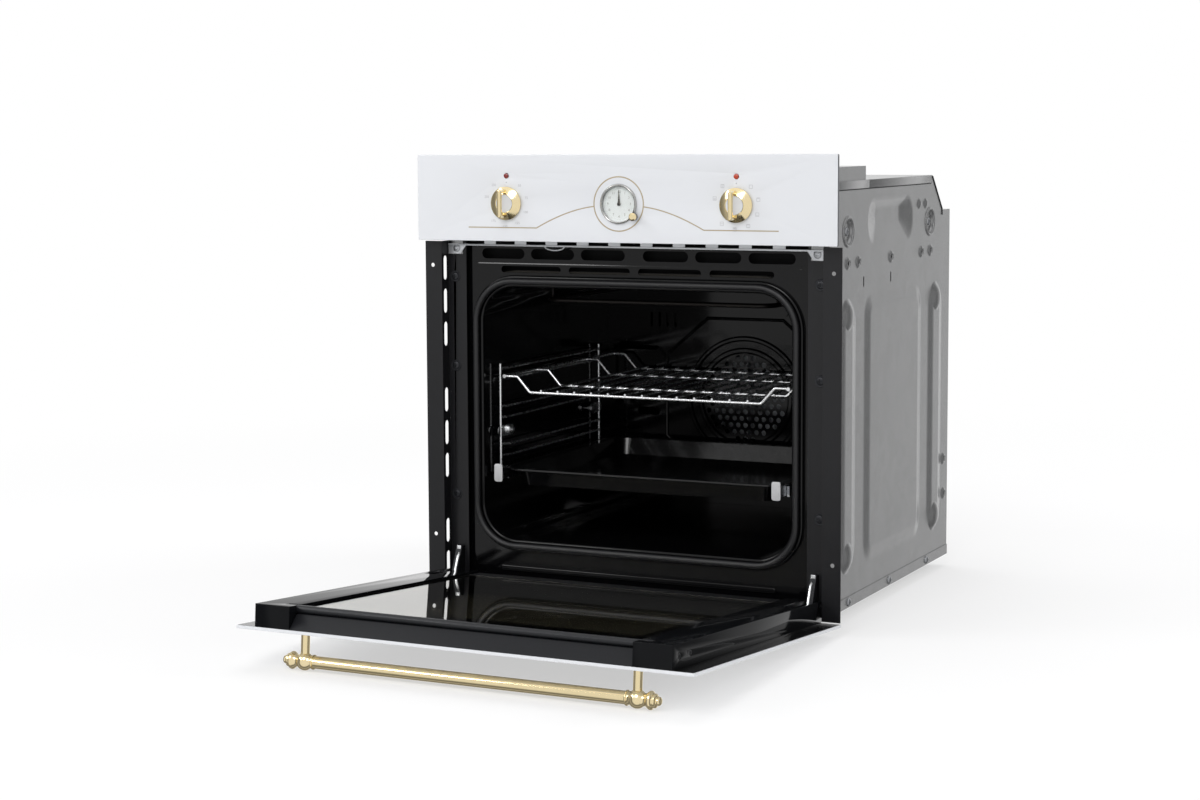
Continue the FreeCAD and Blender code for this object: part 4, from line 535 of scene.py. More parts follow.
# The black strip under the cover's flange is painted shade: it stands for the shadow under the flange's step.
joint_and_shade_black = finish_of("joint_and_shade_black", "101113", "191a1d", mottle=0.6, mottle_scale=120.0, gloss=0.5, uneven=0.2,
                        bump=0.2)
flange_low, flange_high, flange_thick = 543.6, 554.3, 0.8
cover_runs = ((-245.0, -93.6), (-92.4, 174.0))
flange_shade_run, flange_shade_radius = (-244.5, 174.0), 0.7
slope_run = ((181.0, 552.5), (227.0, 505.6), (227.0, 497.0))
for hand, side in (("left", -1), ("right", 1)):
    bumps = [turned(shape, (side * side_face, along * mm, level * mm), (side, 0, 0), 48)
             for shape, along, level in pressed_spots]
    settle(joined(bumps), "side_bosses_" + hand, galvanised, "casing", "galvanised")
    strips = []
    for start, stop in cover_runs:
        corners = [Vector((side * side_face, start * mm, flange_low * mm)),
                   Vector((side * (side_face + flange_thick * mm), stop * mm, flange_high * mm))]
        strip = block(*corners)
        round_edges(strip, 0.3 * mm, 2, sharp)
        strips.append(strip)
    settle(joined(strips), "cover_flange_" + hand, galvanised, "casing", "galvanised")
    # A black strip of painted shade under the flange, for the shadow of its step, and a black bead of the same
    # finish down the rear slope's edge.
    joint = bead([Vector((side * side_face / mm, along, flange_low - flange_shade_radius)) * mm for along in flange_shade_run],
                 flange_shade_radius * mm)
    slope = bead([Vector((side * (side_face / mm - 0.2), along, level)) * mm for along, level in slope_run],
                 1.5 * mm)
    settle(joined([joint, slope]), "cover_joint_and_shade_" + hand, joint_and_shade_black, "casing", "seal_rubber")

# Front posts
# Two folded steel posts with fixing wings, painted satin black, with a row of
# slots for the cooling air. They stand on the base and carry the front frame.
satin_black = finish_of("satin_black", "151517", "1c1c20", mottle=0.6, mottle_scale=60.0, gloss=0.32, uneven=0.12,
                        grain=1500.0, bump=0.08, Specular_IOR_Level=0.35)
for hand in ("left", "right"):
    post = worked_copy("front_post_" + hand)
    round_edges(post, 0.35 * mm, 2, sharp)
    settle(post, "folded_post_" + hand, satin_black, "casing", "satin_black", "front_post_" + hand, flat=True)

# Cavity and its front frame
# Steel sheet, enamelled glossy black all over: a wrapped tunnel with round
# corners, a back wall and baffle, and a front frame with a raised lip round the
# opening and two long ribs below it.
enamel = finish_of("black_enamel", "060607", "0b0b0d", mottle=0.7, mottle_scale=90.0, gloss=0.06, uneven=0.07,
                   grain=260.0, bump=0.01, Specular_IOR_Level=0.28)
dress(enamel, "cavity_wrap", "cavity_back_wall", "rear_baffle")
lip_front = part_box("door_seal")[1].y + 0.2 * mm
face_front = -238.0 * mm
rib_front = face_front - 2.5 * mm
front_frame = worked_copy("cavity_front_frame")


def lies_at(depth):
    """Picks the edges that lie in a plane facing the front."""
    return lambda edge: all(abs(v.co.y - depth) < 0.05 * mm for v in edge.verts) and sharp(edge)


round_edges(front_frame, 3.0 * mm, 5, lies_at(lip_front))
round_edges(front_frame, 2.2 * mm, 4, lies_at(rib_front))
groove_half, groove_level, groove_radius, groove_deep = 234.0, 446.2, 10.8, 0.55
groove = [(0, -groove_half), (groove_radius - 0.6, -groove_half), (groove_radius - 0.2, 1.4 - groove_half),
          (groove_radius, 3.4 - groove_half)]
groove += [(radius, -along) for radius, along in reversed(groove)]
groove_at = Vector((0, face_front / mm - groove_radius + groove_deep, groove_level)) * mm
cut(front_frame, turned(groove, groove_at, (1, 0, 0), 96))
settle(front_frame, "enamelled_front", enamel, "casing", "black_enamel", "cavity_front_frame", flat=True)

# Fan cover's pressing
# A bead with eight straight runs round the fan, pressed in the enamelled steel of
# the rear baffle.
baffle_front = 155.0
fan_level = 227.5
half_top, half_wide, half_high, half_side = 59.0, 125.0, 116.5, 60.5
eighths = [(half_top, half_high), (half_wide, half_side), (half_wide, -half_side), (half_top, -half_high)]
eighths += [(-x, z) for x, z in reversed(eighths)]
pressing = bead([Vector((x, baffle_front, fan_level + z)) * mm for x, z in eighths], 2.6 * mm, closed=True)
settle(pressing, "fan_cover_bead", enamel, "casing", "black_enamel")

# Door seal
# A hollow rubber tube, extruded and joined to a round-cornered loop, hooked into
# the front frame.
rubber = finish_of("seal_rubber", "121214", "1c1c1f", mottle=0.6, mottle_scale=200.0, gloss=0.36, uneven=0.2,
                   grain=1200.0, bump=0.1)
dress(rubber, "door_seal")

# Insulation
# Mineral wool wrapped round the cavity and tied, with a dark scrim that shows in
# the vents.
wool = finish_of("mineral_wool", "2e2b26", "1d1b18", mottle=0.9, mottle_scale=70.0, gloss=0.9, uneven=0.05,
                 grain=600.0, bump=0.9, depth=0.002)
dress(wool, "insulation")

# Heaters
# Steel tubes bent to loops: one under the roof, one under the floor and a ring
# round the fan. The heat has browned them.
heater_steel = finish_of("heater_steel", "1f1e1e", "302c29", mottle=0.9, mottle_scale=120.0, gloss=0.3, uneven=0.2,
                         Metallic=0.8)
dress(heater_steel, "grill_heater", "bottom_heater", "ring_heater")

# Oven lamp
# A lamp in the rear wall, behind a round borosilicate glass that is screwed into
# its holder.
lamp_glass = finish_of("lamp_glass", "3b3b3d", "2b2b2e", mottle=0.4, mottle_scale=60.0, gloss=0.05, uneven=0.05,
                       Coat_Weight=0.5)
dress(lamp_glass, "oven_lamp")

# Fans
# The convection fan behind the rear baffle and the cooling fan above the cavity,
# both pressed and folded from steel, with their motors.
motor_steel = finish_of("motor_steel", "8f9194", "6d6f73", mottle=0.7, mottle_scale=80.0, gloss=0.3, uneven=0.15,
                        Metallic=0.9)
dress(motor_steel, "convection_fan", "cooling_fan", "fan_motor")

# Side racks and shelf
# Chromed steel wire, bent and welded: a ladder on each side wall held by round
# nuts, and a shelf with a dropped middle that slides on the ladders.
chrome = finish_of("chrome_wire", "f1f2f3", "dcdee1", mottle=0.6, mottle_scale=240.0, gloss=0.22, uneven=0.12,
                   bump=0.02, Metallic=1.0)
dress(chrome, "wire_rack_left", "wire_rack_right", "wire_shelf", "rack_nuts")

# Runners
# Telescopic slides of bright rolled steel, hung on the side racks, with a rounded
# grey stop plate at each front end.
bright_steel = finish_of("bright_steel", "c6c8cb", "a5a8ac", mottle=0.6, mottle_scale=160.0, gloss=0.2, uneven=0.15,
                         Metallic=1.0)
stop_grey = finish_of("stop_grey", "d2d3d4", "bfc0c2", mottle_scale=200.0, gloss=0.35,
                      Metallic=0.25)
dress(bright_steel, "runner_outers", "runner_inners")
stop_wide, stop_tall, stop_thick, stop_in, stop_drop = 12.4, 24.4, 2.4, 6.0, 12.0


def runs_back(reach):
    """Picks the edges that run from front to back by more than a reach in mm."""
    return lambda edge: abs(edge.verts[0].co.y - edge.verts[1].co.y) > reach * mm


for number, (low, high) in enumerate(solid_boxes("runner_inners")):
    outer_x = high.x if high.x > 0 else low.x
    side = math.copysign(1, outer_x)
    centre = Vector((outer_x - side * stop_in * mm, low.y, high.z - stop_drop * mm))
    reach = Vector((stop_wide / 2, stop_thick / 2, stop_tall / 2)) * mm
    plate = block(centre - reach, centre + reach)
    round_edges(plate, 3.4 * mm, 5, runs_back(1))
    round_edges(plate, 0.6 * mm, 2, sharp)
    settle(plate, "runner_stop_%d" % number, stop_grey, "tray", "bright_steel")

# Baking tray
# A drawn steel tray with rounded corners and a rolled rim, enamelled black. It
# rests on the inner runners.
tray_enamel = finish_of("tray_enamel", "070708", "0e0e0f", mottle=0.8, mottle_scale=500.0, gloss=0.07, uneven=0.08,
                        grain=500.0, bump=0.03)
dress(tray_enamel, "baking_tray")
low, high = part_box("baking_tray")
rim_radius, rim_corner, rim_drop = 1.9 * mm, 35.0 * mm, 1.2 * mm
rim_middle, rim_reach = (low + high) / 2, (high - low) / 2
rim = []
for quarter in range(4):
    for turn in range(90 * quarter, 90 * quarter + 91, 10):
        out = Vector((math.cos(math.radians(turn)), math.sin(math.radians(turn)), 0))
        side_x, side_y = ((1, 1), (-1, 1), (-1, -1), (1, -1))[quarter]
        corner_at = Vector((side_x * (rim_reach.x - rim_corner - rim_radius),
                            side_y * (rim_reach.y - rim_corner - rim_radius), 0))
        rim.append(Vector((rim_middle.x, rim_middle.y, high.z - rim_drop)) + corner_at + out * rim_corner)
settle(bead(rim, rim_radius, closed=True), "rolled_tray_rim", tray_enamel, "tray", "black_enamel")

# Switches and terminal box
# Moulded black plastic housings, screwed on behind the panel and on the rear
# ledge.
black_plastic = finish_of("black_plastic", "1c1c1e", "2a2a2d", mottle_scale=120.0, gloss=0.42, uneven=0.15,
                          grain=1400.0, bump=0.12)
dress(black_plastic, "thermostat", "mode_selector", "clock_movement", "terminal_box")

# Carrier's edge
# The lower edge of the panel's steel carrier, which shows under the glass: a bright
# lip with a row of teeth, a tab under a screw at each end, and a wire loop.
bright_zinc = finish_of("bright_zinc", "e2e4e7", "cdd0d4", mottle_scale=90.0, gloss=0.3,
                        grain=600.0, bump=0.03, Metallic=0.5)
lip_half, lip_near, lip_far, lip_low, lip_high = 271.0, -250.4, -248.6, 467.6, 470.0
tooth_pitch, tooth_half, tooth_top = 46.0, 8.5, 481.0
lip = block_mm((-lip_half, lip_near, lip_low), (lip_half, lip_far, lip_high))
round_edges(lip, 0.5 * mm, 2, sharp)
comb = [lip]
for step in range(-5, 5):
    middle = (step + 0.5) * tooth_pitch
    comb.append(block_mm((middle - tooth_half, lip_far - 0.8, lip_low + 0.6),
                         (middle + tooth_half, lip_far, tooth_top)))
tab_out, tab_in, tab_foot, tab_top, tab_front, tab_back = 271.0, 243.5, 456.2, 469.0, -249.2, -248.0
slant_within, slant = 250 * mm, 9 * mm
for side in (-1, 1):
    tab = block_mm((side * tab_in, tab_front, tab_foot), (side * tab_out, tab_back, tab_top))
    for vert in tab.data.vertices:
        if vert.co.z < lip_low * mm and abs(vert.co.x) < slant_within:
            vert.co.x += side * slant
    round_edges(tab, 0.3 * mm, 2, sharp)
    comb.append(tab)
loop_at, loop_half, loop_drop, loop_front, loop_level = -110.0, 14.5, 5.4, -249.6, 468.4
arc = [math.radians(turn) for turn in range(0, 181, 12)]
loop = [Vector((loop_at + loop_half * math.cos(turn), loop_front, loop_level - loop_drop * math.sin(turn))) * mm
        for turn in arc]
comb.append(bead(loop, 0.9 * mm))
settle(joined(comb), "carrier_edge", bright_zinc, "casing", "galvanised")

# Duct baffle
# A black folded sheet across the cooling duct, behind the vents and the carrier's
# edge. It turns the warm air down and out, and stops the eye; its near-black is painted shade for the dark inside of
# the duct.
baffle_half, baffle_at, baffle_low, baffle_top, baffle_thick, fold_long = 258.0, -223.0, 426.0, 538.0, 0.8, 12.0
# The duct's near-black, with little reflection, is painted shade, so that the vents show dark.
duct_shade_black = finish_of("duct_shade_black", "060607", "0a0a0b", mottle=0.6, mottle_scale=80.0, gloss=0.7,
                       Specular_IOR_Level=0.2)
baffle = block_mm((-baffle_half, baffle_at, baffle_low), (baffle_half, baffle_at + baffle_thick, baffle_top))
fold = block_mm((-baffle_half, baffle_at, baffle_top - baffle_thick),
                (baffle_half, baffle_at + fold_long, baffle_top))
round_edges(baffle, 0.25 * mm, 2, sharp)
round_edges(fold, 0.25 * mm, 2, sharp)
settle(joined([baffle, fold]), "duct_shade_baffle", duct_shade_black, "casing", "satin_black")

# Control panel
# One pane of toughened glass, painted white on its back, with ground edges. A
# thin gold line and grey marks are printed on it, and two lamp lenses sit in it.
white_glass = finish_of("white_glass", "e9ebee", "e4e6ea", mottle_scale=4.0, gloss=0.07, uneven=0.05,
                        grain=30.0, bump=0.01)
panel = worked_copy("control_panel_glass")
round_edges(panel, 0.6 * mm, 3, sharp)
settle(panel, "white_panel", white_glass, "casing", "white_glass", "control_panel_glass")
edge_grey = finish_of("glass_edge", "54565b", "46484d", mottle=0.6, mottle_scale=90.0, gloss=0.3)
panel.data.materials.append(edge_grey)
for face in panel.data.polygons:
    face.material_index = 1 if abs(face.normal.x) > 0.6 else 0
panel_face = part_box("control_panel_glass")[0].y
clock_low, clock_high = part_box("clock_bezel")
clock_at = Vector((0, panel_face, (clock_low.z + clock_high.z) / 2))
print_gold = finish_of("print_gold", "b5a68a", "a8997c", mottle_scale=200.0, gloss=0.3,
                       Metallic=0.3)
print_grey = finish_of("print_grey", "b9babd", "adaeb1", mottle_scale=200.0)


def flat_line(points, width):
    """A printed line on the panel, through points with their handles."""
    line = round_line(width / 2, 1, True)
    line.resolution_u = 24
    run = line.splines.new("BEZIER")
    run.bezier_points.add(len(points) - 1)
    for (spot, before, after), point in zip(points, run.bezier_points):
        point.handle_left_type = "FREE"
        point.handle_right_type = "FREE"
        point.co = spot
        point.handle_left = before
        point.handle_right = after
    return meshed(line)


def print_flat(piece, name, material, slot):
    """Presses a printed piece flat on the panel's face."""
    select_only(piece)
    bpy.ops.object.mode_set(mode="EDIT")
    bpy.ops.mesh.select_all(action="SELECT")
    bpy.ops.transform.resize(value=(1, 0.08, 1), center_override=(0, panel_face, 0))
    bpy.ops.object.mode_set(mode="OBJECT")
    return settle(piece, name, material, "casing", slot)


line_level = 494.2
line_end, line_bend, line_ring = 220.0, 118.7, 34.6
ring_radius = 35.0
line_width = 1.7 * mm
branches = []
for side in (-1, 1):
    stops = [
        ((line_end, line_level), (line_end, line_level), (line_bend + 30, line_level)),
        ((line_bend, line_level), (line_bend + 8, line_level), (line_bend - 26, line_level + 14)),
        ((line_ring, line_level + 29), (line_ring + 30, line_level + 25.5), (line_ring, line_level + 29)),
    ]
    branches.append(flat_line(
        [[Vector((side * x, panel_face / mm, z)) * mm for x, z in stop] for stop in stops], line_width))
bpy.ops.object.select_all(action="DESELECT")
bpy.ops.mesh.primitive_torus_add(location=clock_at, rotation=(math.pi / 2, 0, 0), major_radius=ring_radius * mm,
                                 minor_radius=line_width / 2, major_segments=96, minor_segments=6)
branches.append(bpy.context.object)
apply_place()
print_flat(joined(branches), "printed_line", print_gold, "gold")


def printed_text(words, size, spot):
    """Printed figures, centred on a spot of a face that looks forward."""
    bpy.ops.object.select_all(action="DESELECT")
    bpy.ops.object.text_add(location=spot, rotation=(math.pi / 2, 0, 0))
    figures = bpy.context.object
    figures.data.body = words
    figures.data.size = size
    figures.data.align_x = "CENTER"
    figures.data.align_y = "CENTER"
    figures.data.extrude = 0.04 * mm
    figures.data.resolution_u = 3
    bpy.ops.object.convert(target="MESH")
    figures = bpy.context.object
    apply_place()
    return figures


def heat_symbol(spot, bars):
    """A small square mark with bars for the heat that a setting gives."""
    size, line = 4.4 * mm, 0.22 * mm
    strokes = []
    for offset in (-0.5, 0.5):
        strokes.append((Vector((0, 0, offset * size)), Vector((size / 2, 0, line))))
        strokes.append((Vector((offset * size, 0, 0)), Vector((line, 0, size / 2))))
    for height in bars:
        strokes.append((Vector((0, 0, height * size)), Vector((0.32 * size, 0, line))))
    thin = Vector((0, 0.04 * mm, 0))
    return [block(spot + at - reach - thin, spot + at + reach + thin) for at, reach in strokes]


def on_panel(node):
    """The spot on the panel's face at a node's middle."""
    low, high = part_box(node)
    return Vector(((low.x + high.x) / 2, panel_face, (low.z + high.z) / 2))


mark_radius = 30.5 * mm
mark_turn = 36.0
marks = []
heats = [(), (0.3,), (-0.3,), (-0.3, 0.3), (0.3, 0.12), (0.0,), (-0.3, 0.0), (-0.3, 0.0, 0.3)]
for knob, temperature in (("temperature_knob", True), ("mode_knob", False)):
    knob_at = on_panel(knob)
    for step in range(8):
        turn = math.radians(50 - mark_turn * step) + (0 if step < 6 else math.radians(-30))
        spot = knob_at + Vector((math.cos(turn), 0, math.sin(turn))) * mark_radius
        if temperature:
            marks.append(printed_text(str(50 + 25 * step + (25 if step == 7 else 0)), 4.6 * mm, spot))
        else:
            marks += heat_symbol(spot, heats[step])
    dot = knob_at + Vector((0, 0, 27.5 * mm))
    bpy.ops.object.select_all(action="DESELECT")
    bpy.ops.mesh.primitive_cylinder_add(vertices=20, radius=0.9 * mm, depth=0.08 * mm, location=dot,
                                        rotation=(math.pi / 2, 0, 0))
    apply_place()
    marks.append(bpy.context.object)
settle(joined(marks), "printed_marks", print_grey, "casing", "dial_white")

red_lens = finish_of("red_lens", "7a130e", "93201a", mottle=0.6, mottle_scale=200.0, gloss=0.12,
                     Coat_Weight=0.5)
lens_tree = red_lens.node_tree
lens_place = lens_tree.nodes.new("ShaderNodeTexCoord")
lens_split = add_node(lens_tree, "ShaderNodeSeparateXYZ", lens_place.outputs["Object"])
lens_side = add_node(lens_tree, "ShaderNodeMath", lens_split.outputs["X"], 0.0, operation="GREATER_THAN")
lens_colour = add_node(lens_tree, "ShaderNodeMix", data_type="RGBA", Factor=lens_side.outputs[0],
                       A=linear("74120e"), B=linear("c9451f"))
lens_tree.links.new(lens_colour.outputs["Result"], lens_tree.nodes["surface"].inputs["Colour"])
dress(red_lens, "indicator_lenses")

# Knobs
# Brass castings with a turned cone, a white enamel inlay and a cast grip bar that
# bridges it, polished and lacquered. Each sits on the shaft of its switch.
gold = finish_of("gold", "fae8bb", "f0dcab", mottle_scale=120.0, gloss=0.09, uneven=0.08, bump=0.02,
                 Metallic=1.0)
inlay_white = finish_of("inlay_white", "e6e8eb", "dfe1e5", mottle_scale=80.0, gloss=0.08, uneven=0.04)
blade_long, blade_wide, blade_top, blade_thick, blade_foot = 37.0, 6.0, 22.6, 4.6, 4.5
for knob in ("temperature_knob", "mode_knob"):
    knob_at = on_panel(knob)
    cone = turned([(0, -23), (3.0, -23), (3.0, 0.6), (21.2, 0.6), (22.0, 1.2), (22.0, 2.9), (21.4, 3.4), (12.6, 7.6),
                   (12.0, 7.4), (11.8, 6.6), (0, 6.6)], knob_at, (0, -1, 0), 96)
    reach = Vector((blade_wide, 0, blade_long)) * (mm / 2)
    blade = block(knob_at - reach - Vector((0, blade_top, 0)) * mm, knob_at + reach - Vector((0, 3.0, 0)) * mm)
    round_edges(blade, 3.0 * mm, 5, runs_back(5))
    under = Vector((blade_wide, 0, blade_long - 2 * blade_foot)) * (mm / 2)
    cut(blade, block(knob_at - under - Vector((0, blade_top - blade_thick, 0)) * mm, knob_at + under))
    round_edges(blade, 1.2 * mm, 3, sharp)
    settle(joined([cone, blade]), "gold_" + knob, gold, knob, "gold", knob)
    inlay = turned([(0, 6.4), (11.7, 6.4), (11.7, 6.9), (11.3, 7.2), (0, 7.3)], knob_at, (0, -1, 0), 64)
    settle(inlay, "white_inlay_" + knob, inlay_white, knob, "dial_white")

# Clock
# A printed dial with one long and one short hand under a glass lens, in a thin
# turned bezel, set by the small gold knob at its lower right.
dark_metal = finish_of("dark_metal", "77716a", "5c564f", mottle=0.6, mottle_scale=200.0, gloss=0.2, uneven=0.15,
                       Metallic=0.9)
dial_white = finish_of("dial_white", "f0f1f2", "e6e7e9", mottle=0.6, mottle_scale=60.0)
dial_print = finish_of("dial_print", "8e8a84", "9b9791", mottle_scale=300.0)
bezel = turned([(23.0, 0), (23.0, 2.0), (23.5, 2.7), (24.4, 3.0), (25.2, 2.6), (25.8, 1.7), (26.0, 0.6), (26.0, 0),
                (23.0, 0)], clock_at, (0, -1, 0), 96)
bezel_steel = finish_of("bezel_steel", "c4c4c2", "a9a8a5", mottle_scale=200.0, gloss=0.14,
                        Metallic=1.0)
settle(bezel, "turned_bezel", bezel_steel, "casing", "dark_metal", "clock_bezel")
clear_glass = finish_of("clear_glass", "f2f4f2", "e9ecea", mottle=0.4, mottle_scale=8.0, gloss=0.01, uneven=0.015,
                        grain=40.0, bump=0.01, Transmission_Weight=1.0, IOR=1.47)
dress(dial_white, "clock_dial")
dress(clear_glass, "clock_lens")
frame["nodes"]["clock_lens"].visible_shadow = False
dial_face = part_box("clock_dial")[0].y
dial_marks = []
for minute in range(0, 60, 5):
    turn = math.radians(90 - 6 * minute)
    outward = Vector((math.cos(turn), 0, math.sin(turn)))
    spot = Vector((0, dial_face, clock_at.z)) + outward * 16.0 * mm
    dial_marks.append(printed_text(str(minute // 5 or 12), 4.6 * mm, spot))
for minute in range(60):
    turn = math.radians(6 * minute)
    long = 1.1 if minute % 5 == 0 else 0.6
    tick = block_mm((20.6 - long, -0.04, -0.12), (20.6, 0.04, 0.12))
    tick.matrix_world = Matrix.Translation((0, dial_face, clock_at.z)) @ Matrix.Rotation(-turn, 4, "Y")
    select_only(tick)
    apply_place()
    dial_marks.append(tick)
settle(joined(dial_marks), "dial_figures", dial_print, "casing", "dark_metal")
for hand, hand_long, hand_wide in (("minute_hand", 18.5, 3.0), ("hour_hand", 12.5, 4.2)):
    low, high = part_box(hand)
    hand_front = low.y
    plate = block((-hand_wide / 2 * mm, hand_front, clock_at.z - 2.0 * mm),
                  (hand_wide / 2 * mm, hand_front + 0.5 * mm, clock_at.z + hand_long * mm))
    select_only(plate)
    bpy.ops.object.mode_set(mode="EDIT")
    bpy.ops.mesh.select_all(action="DESELECT")
    shape = bmesh.from_edit_mesh(plate.data)
    for vert in shape.verts:
        vert.select_set(vert.co.z > clock_at.z + 5 * mm)
    shape.select_flush(True)
    bmesh.update_edit_mesh(plate.data)
    bpy.ops.transform.resize(value=(0.18, 1, 1), center_override=(0, hand_front, clock_at.z))
    bpy.ops.object.mode_set(mode="OBJECT")
    round_edges(plate, 0.12 * mm, 2, sharp)
    tube = 1.3 if hand == "minute_hand" else 2.2
    rear = (hand_front - high.y) / mm
    arbor = turned([(0, rear), (tube, rear), (tube, -0.5), (2.3, -0.5), (2.3, -0.1), (2.1, 0), (0, 0)],
                   (0, hand_front, clock_at.z), (0, -1, 0), 32)
    settle(joined([plate, arbor]), "tapered_" + hand, dark_metal, hand, "dark_metal", hand)
setter_at = on_panel("clock_knob")
setter_cap = turned([(0, 8.2), (4.8, 8.2), (5.3, 8.7), (5.3, 10.6), (3.4, 12.0), (0, 12.0)], setter_at,
                    (0, -1, 0), 12)
settle(setter_cap, "gold_clock_knob", gold, "clock_knob", "gold", "clock_knob", smooth=16.0)
setter_body = turned([(0, -15), (1.5, -15), (1.5, 4.0), (4.5, 4.0), (4.8, 4.4), (4.8, 8.6), (0, 8.6)], setter_at,
                     (0, -1, 0), 40)
settle(setter_body, "clock_knob_body", black_plastic, "clock_knob", "black_plastic")

# Hinge arms
# Stamped steel arms hooked into the posts, blackened, each with a chromed spring
# strip down its front and a locking tab at its top.
arm_steel = finish_of("arm_steel", "1e1f21", "2c2d30", mottle=0.7, mottle_scale=200.0, gloss=0.25, uneven=0.15,
                      Metallic=0.6)
dress(arm_steel, "hinge_arm_left", "hinge_arm_right")
strip_radius, strip_in = 2.0, 1.5
strip_run = ((-272.6, 17.0), (-263.0, 38.5), (-260.0, 43.5), (-256.5, 46.5), (-253.5, 47.5))
tab_half, tab_near, tab_deep, tab_rise, tab_crown = 3.2, -255.6, 1.6, 46.0, 57.0
for hand, side in (("left", -1), ("right", 1)):
    arm_low, arm_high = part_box("hinge_arm_" + hand)
    arm_middle = (arm_low.x + arm_high.x) / (2 * mm)
    strip = bead([Vector((arm_middle - side * strip_in, along, level)) * mm for along, level in strip_run],
                 strip_radius * mm)
    tab = block_mm((arm_middle - tab_half, tab_near, tab_rise),
                   (arm_middle + tab_half, tab_near + tab_deep, tab_crown))
    round_edges(tab, 0.6 * mm, 3, sharp)
    settle(joined([strip, tab]), "hinge_strip_" + hand, chrome, "casing", "chrome_wire")

# Door
# Two panes in a frame of painted steel: stiles, textured rails and a glass bar,
# on two sprung hinges. The outer pane is white glass with a dark window and a black
# print behind it, the inner one is clear with a black border printed behind it.
swing = next(joint for joint in frame["joints"] if joint["name"] == "door_swing")
hinge = Vector(swing["pos_m"])
open_turn = math.radians(swing["range_deg"][1])
to_open = Matrix.Translation(hinge) @ Matrix.Rotation(open_turn, 4, "X") @ Matrix.Translation(-hinge)
dress(white_glass, "door_outer_glass")
pane_glass = finish_of("pane_glass", "d8d6cc", "cfcdc2", mottle=0.4, mottle_scale=6.0, gloss=0.01, uneven=0.01,
                       grain=30.0, bump=0.005, Transmission_Weight=1.0, IOR=1.5)
border_black = finish_of("border_black", "070708", "0c0c0d", mottle_scale=40.0, gloss=0.12, uneven=0.08)
window_glass = finish_of("window_glass", "3e3c34", "35332c", mottle_scale=5.0, gloss=0.04, uneven=0.04,
                         grain=30.0, bump=0.005)
dress(pane_glass, "door_inner_glass")
frame["nodes"]["door_inner_glass"].visible_shadow = False


def hung(piece):
    """Swings a piece of the shut door to the open door's place."""
    piece.matrix_world = to_open @ piece.matrix_world
    select_only(piece)
    apply_place()
    return piece


window_half, window_low, window_high = 200.0, 66.0, 398.0
window_front, window_back, window_lap, print_gap = -285.06, -280.6, 8, 6
pane_half, pane_low, pane_high = 222.0, 24.0, 441.0
pane_back = -260.0
plate = block_mm((-pane_half, pane_back - 0.7, pane_low), (pane_half, pane_back - 0.3, pane_high))
opening = block_mm((-window_half, pane_back - 3, window_low), (window_half, pane_back + 3, window_high))
round_edges(opening, 14 * mm, 6, runs_back(1))
cut(plate, opening)
settle(hung(plate), "printed_border", border_black, "door", "black_enamel")
outer_window = block_mm((-window_half - window_lap, window_front, window_low - window_lap),
                        (window_half + window_lap, window_back, window_high + window_lap))
round_edges(outer_window, 18 * mm, 6, runs_back(1))
settle(hung(outer_window), "outer_window", window_glass, "door", "door_glass")
print_half, print_low, print_high, print_front, print_back = 296.0, -1.5, 471.4, -281.1, -280.8
back_print = block_mm((-print_half, print_front, print_low), (print_half, print_back, print_high))
round_edges(back_print, 2.0 * mm, 3, runs_back(0.1))
clear_of_print = block_mm((-window_half - print_gap, print_front - 2, window_low - print_gap),
                          (window_half + print_gap, print_back + 2, window_high + print_gap))
round_edges(clear_of_print, 17 * mm, 6, runs_back(0.1))
cut(back_print, clear_of_print)
settle(hung(back_print), "back_print", border_black, "door", "black_enamel")

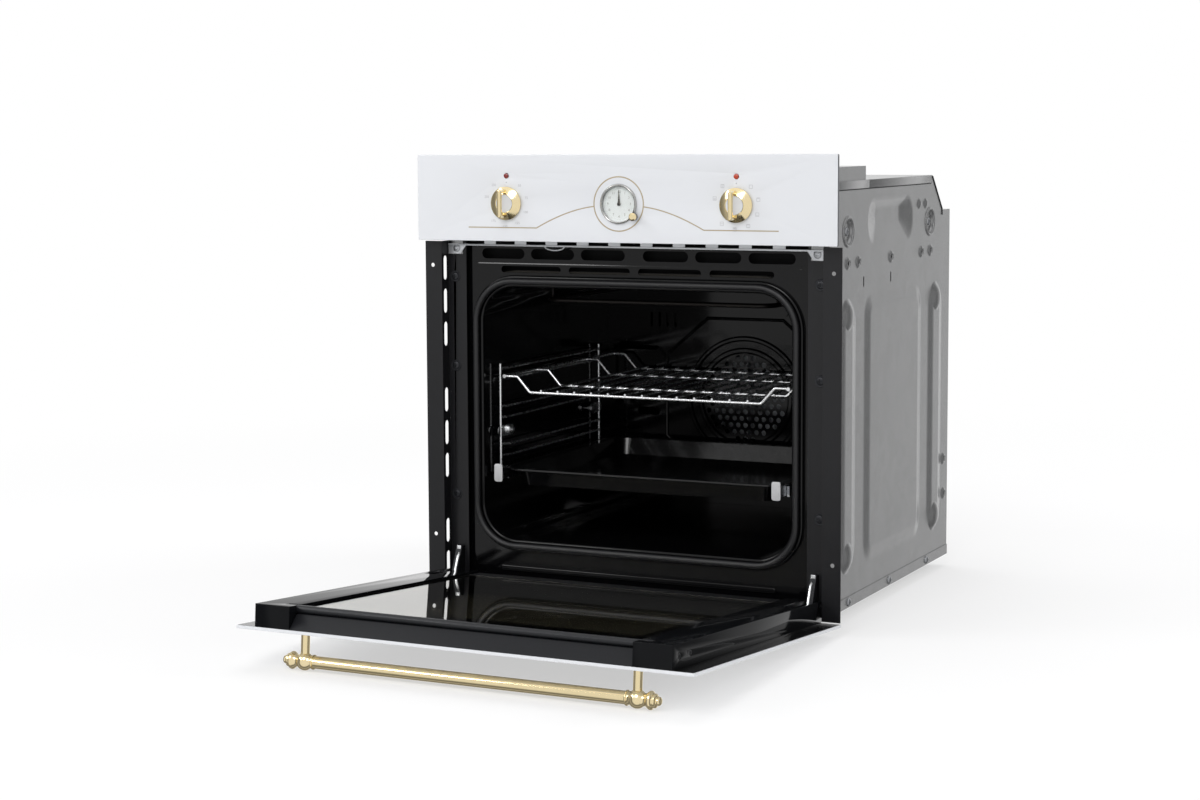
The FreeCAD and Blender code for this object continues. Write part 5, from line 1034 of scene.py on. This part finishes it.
bar_black = finish_of("bar_black", "1c1d20", "26282c", mottle_scale=80.0, gloss=0.24,
                      Metallic=0.3)
rail_black = finish_of("textured_rail", "151618", "212226", mottle=0.8, mottle_scale=420.0, uneven=0.14,
                       bump=0.4, Specular_IOR_Level=0.2)
stile_black = finish_of("stile_black", "0d0e10", "131416", mottle_scale=50.0, gloss=0.04, uneven=0.02,
                        grain=1500.0, bump=0.0, Specular_IOR_Level=0.12)
dress(bar_black, "door_glass_bar")
for node, coat, edge_radius in (("door_top_rail", rail_black, 1.2), ("door_bottom_rail", satin_black, 0.5),
                                ("door_side_left", stile_black, 0.6), ("door_side_right", stile_black, 0.6)):
    member = worked_copy(node)
    round_edges(member, edge_radius * mm, 3, sharp)
    settle(member, "painted_" + node, coat, "door", "satin_black", node)
settle(screw_heads("door_screws", 0, 4.6, 1.4), "stile_cross_screws", black_zinc, "door", "galvanised",
       "door_screws")
dress(satin_black, "hinge_cassette_left", "hinge_cassette_right")

bar_low, bar_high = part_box("door_glass_bar")
for side in (-1, 1):
    end = Vector((side * (bar_high.x - 5 * mm), bar_low.y + 1.5 * mm, bar_low.z + 1.0 * mm))
    reach = Vector((5.5, 4.0, 4.5)) * mm
    clip = block(end - reach, end + reach)
    round_edges(clip, 1.2 * mm, 3, sharp)
    settle(clip, "bar_clip_" + ("left" if side < 0 else "right"), black_plastic, "door", "black_plastic")

# Handle
# A gold-plated bar between two turned finials, each on a post with a foot that
# is bolted through the outer pane.
dress(gold, "handle_bar")
low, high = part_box("handle_bar")
bar_at = (low + high) / 2
inward = Vector((0, math.cos(open_turn), math.sin(open_turn)))
ball, ball_out = 11.0, 217.5
finial = [(7.8, -13.4), (8.7, -13.2), (9.0, -12.6), (9.0, -11.9), (8.6, -11.4), (7.9, -11.1), (7.9, -9.6)]
finial += [(ball * math.sin(math.radians(turn)), -ball * math.cos(math.radians(turn))) for turn in range(50, 136, 6)]
finial += [(7.4, 9.4), (7.7, 11.0), (8.8, 13.0), (10.2, 14.8), (10.8, 16.0), (10.8, 17.4), (10.2, 18.5), (8.8, 19.1),
           (8.2, 19.8), (8.3, 21.2), (8.1, 22.6), (7.1, 23.6), (5.6, 24.1), (5.1, 24.8), (5.3, 26.4), (4.6, 28.0),
           (2.8, 29.2), (0, 29.5)]
post = [(0, 3), (5.4, 3), (5.4, 32.0), (5.9, 32.6), (7.2, 33.2), (7.6, 33.8), (7.6, 35.9), (0, 36.0)]
ends = []
for side in (-1, 1):
    ball_at = Vector((side * ball_out * mm, bar_at.y, bar_at.z))
    ends.append(turned([(0, -13.4)] + finial, ball_at, (side, 0, 0), 64))
    ends.append(turned(post, ball_at, inward, 48))
settle(joined(ends), "turned_handle_ends", gold, "door", "gold", "handle_ends")
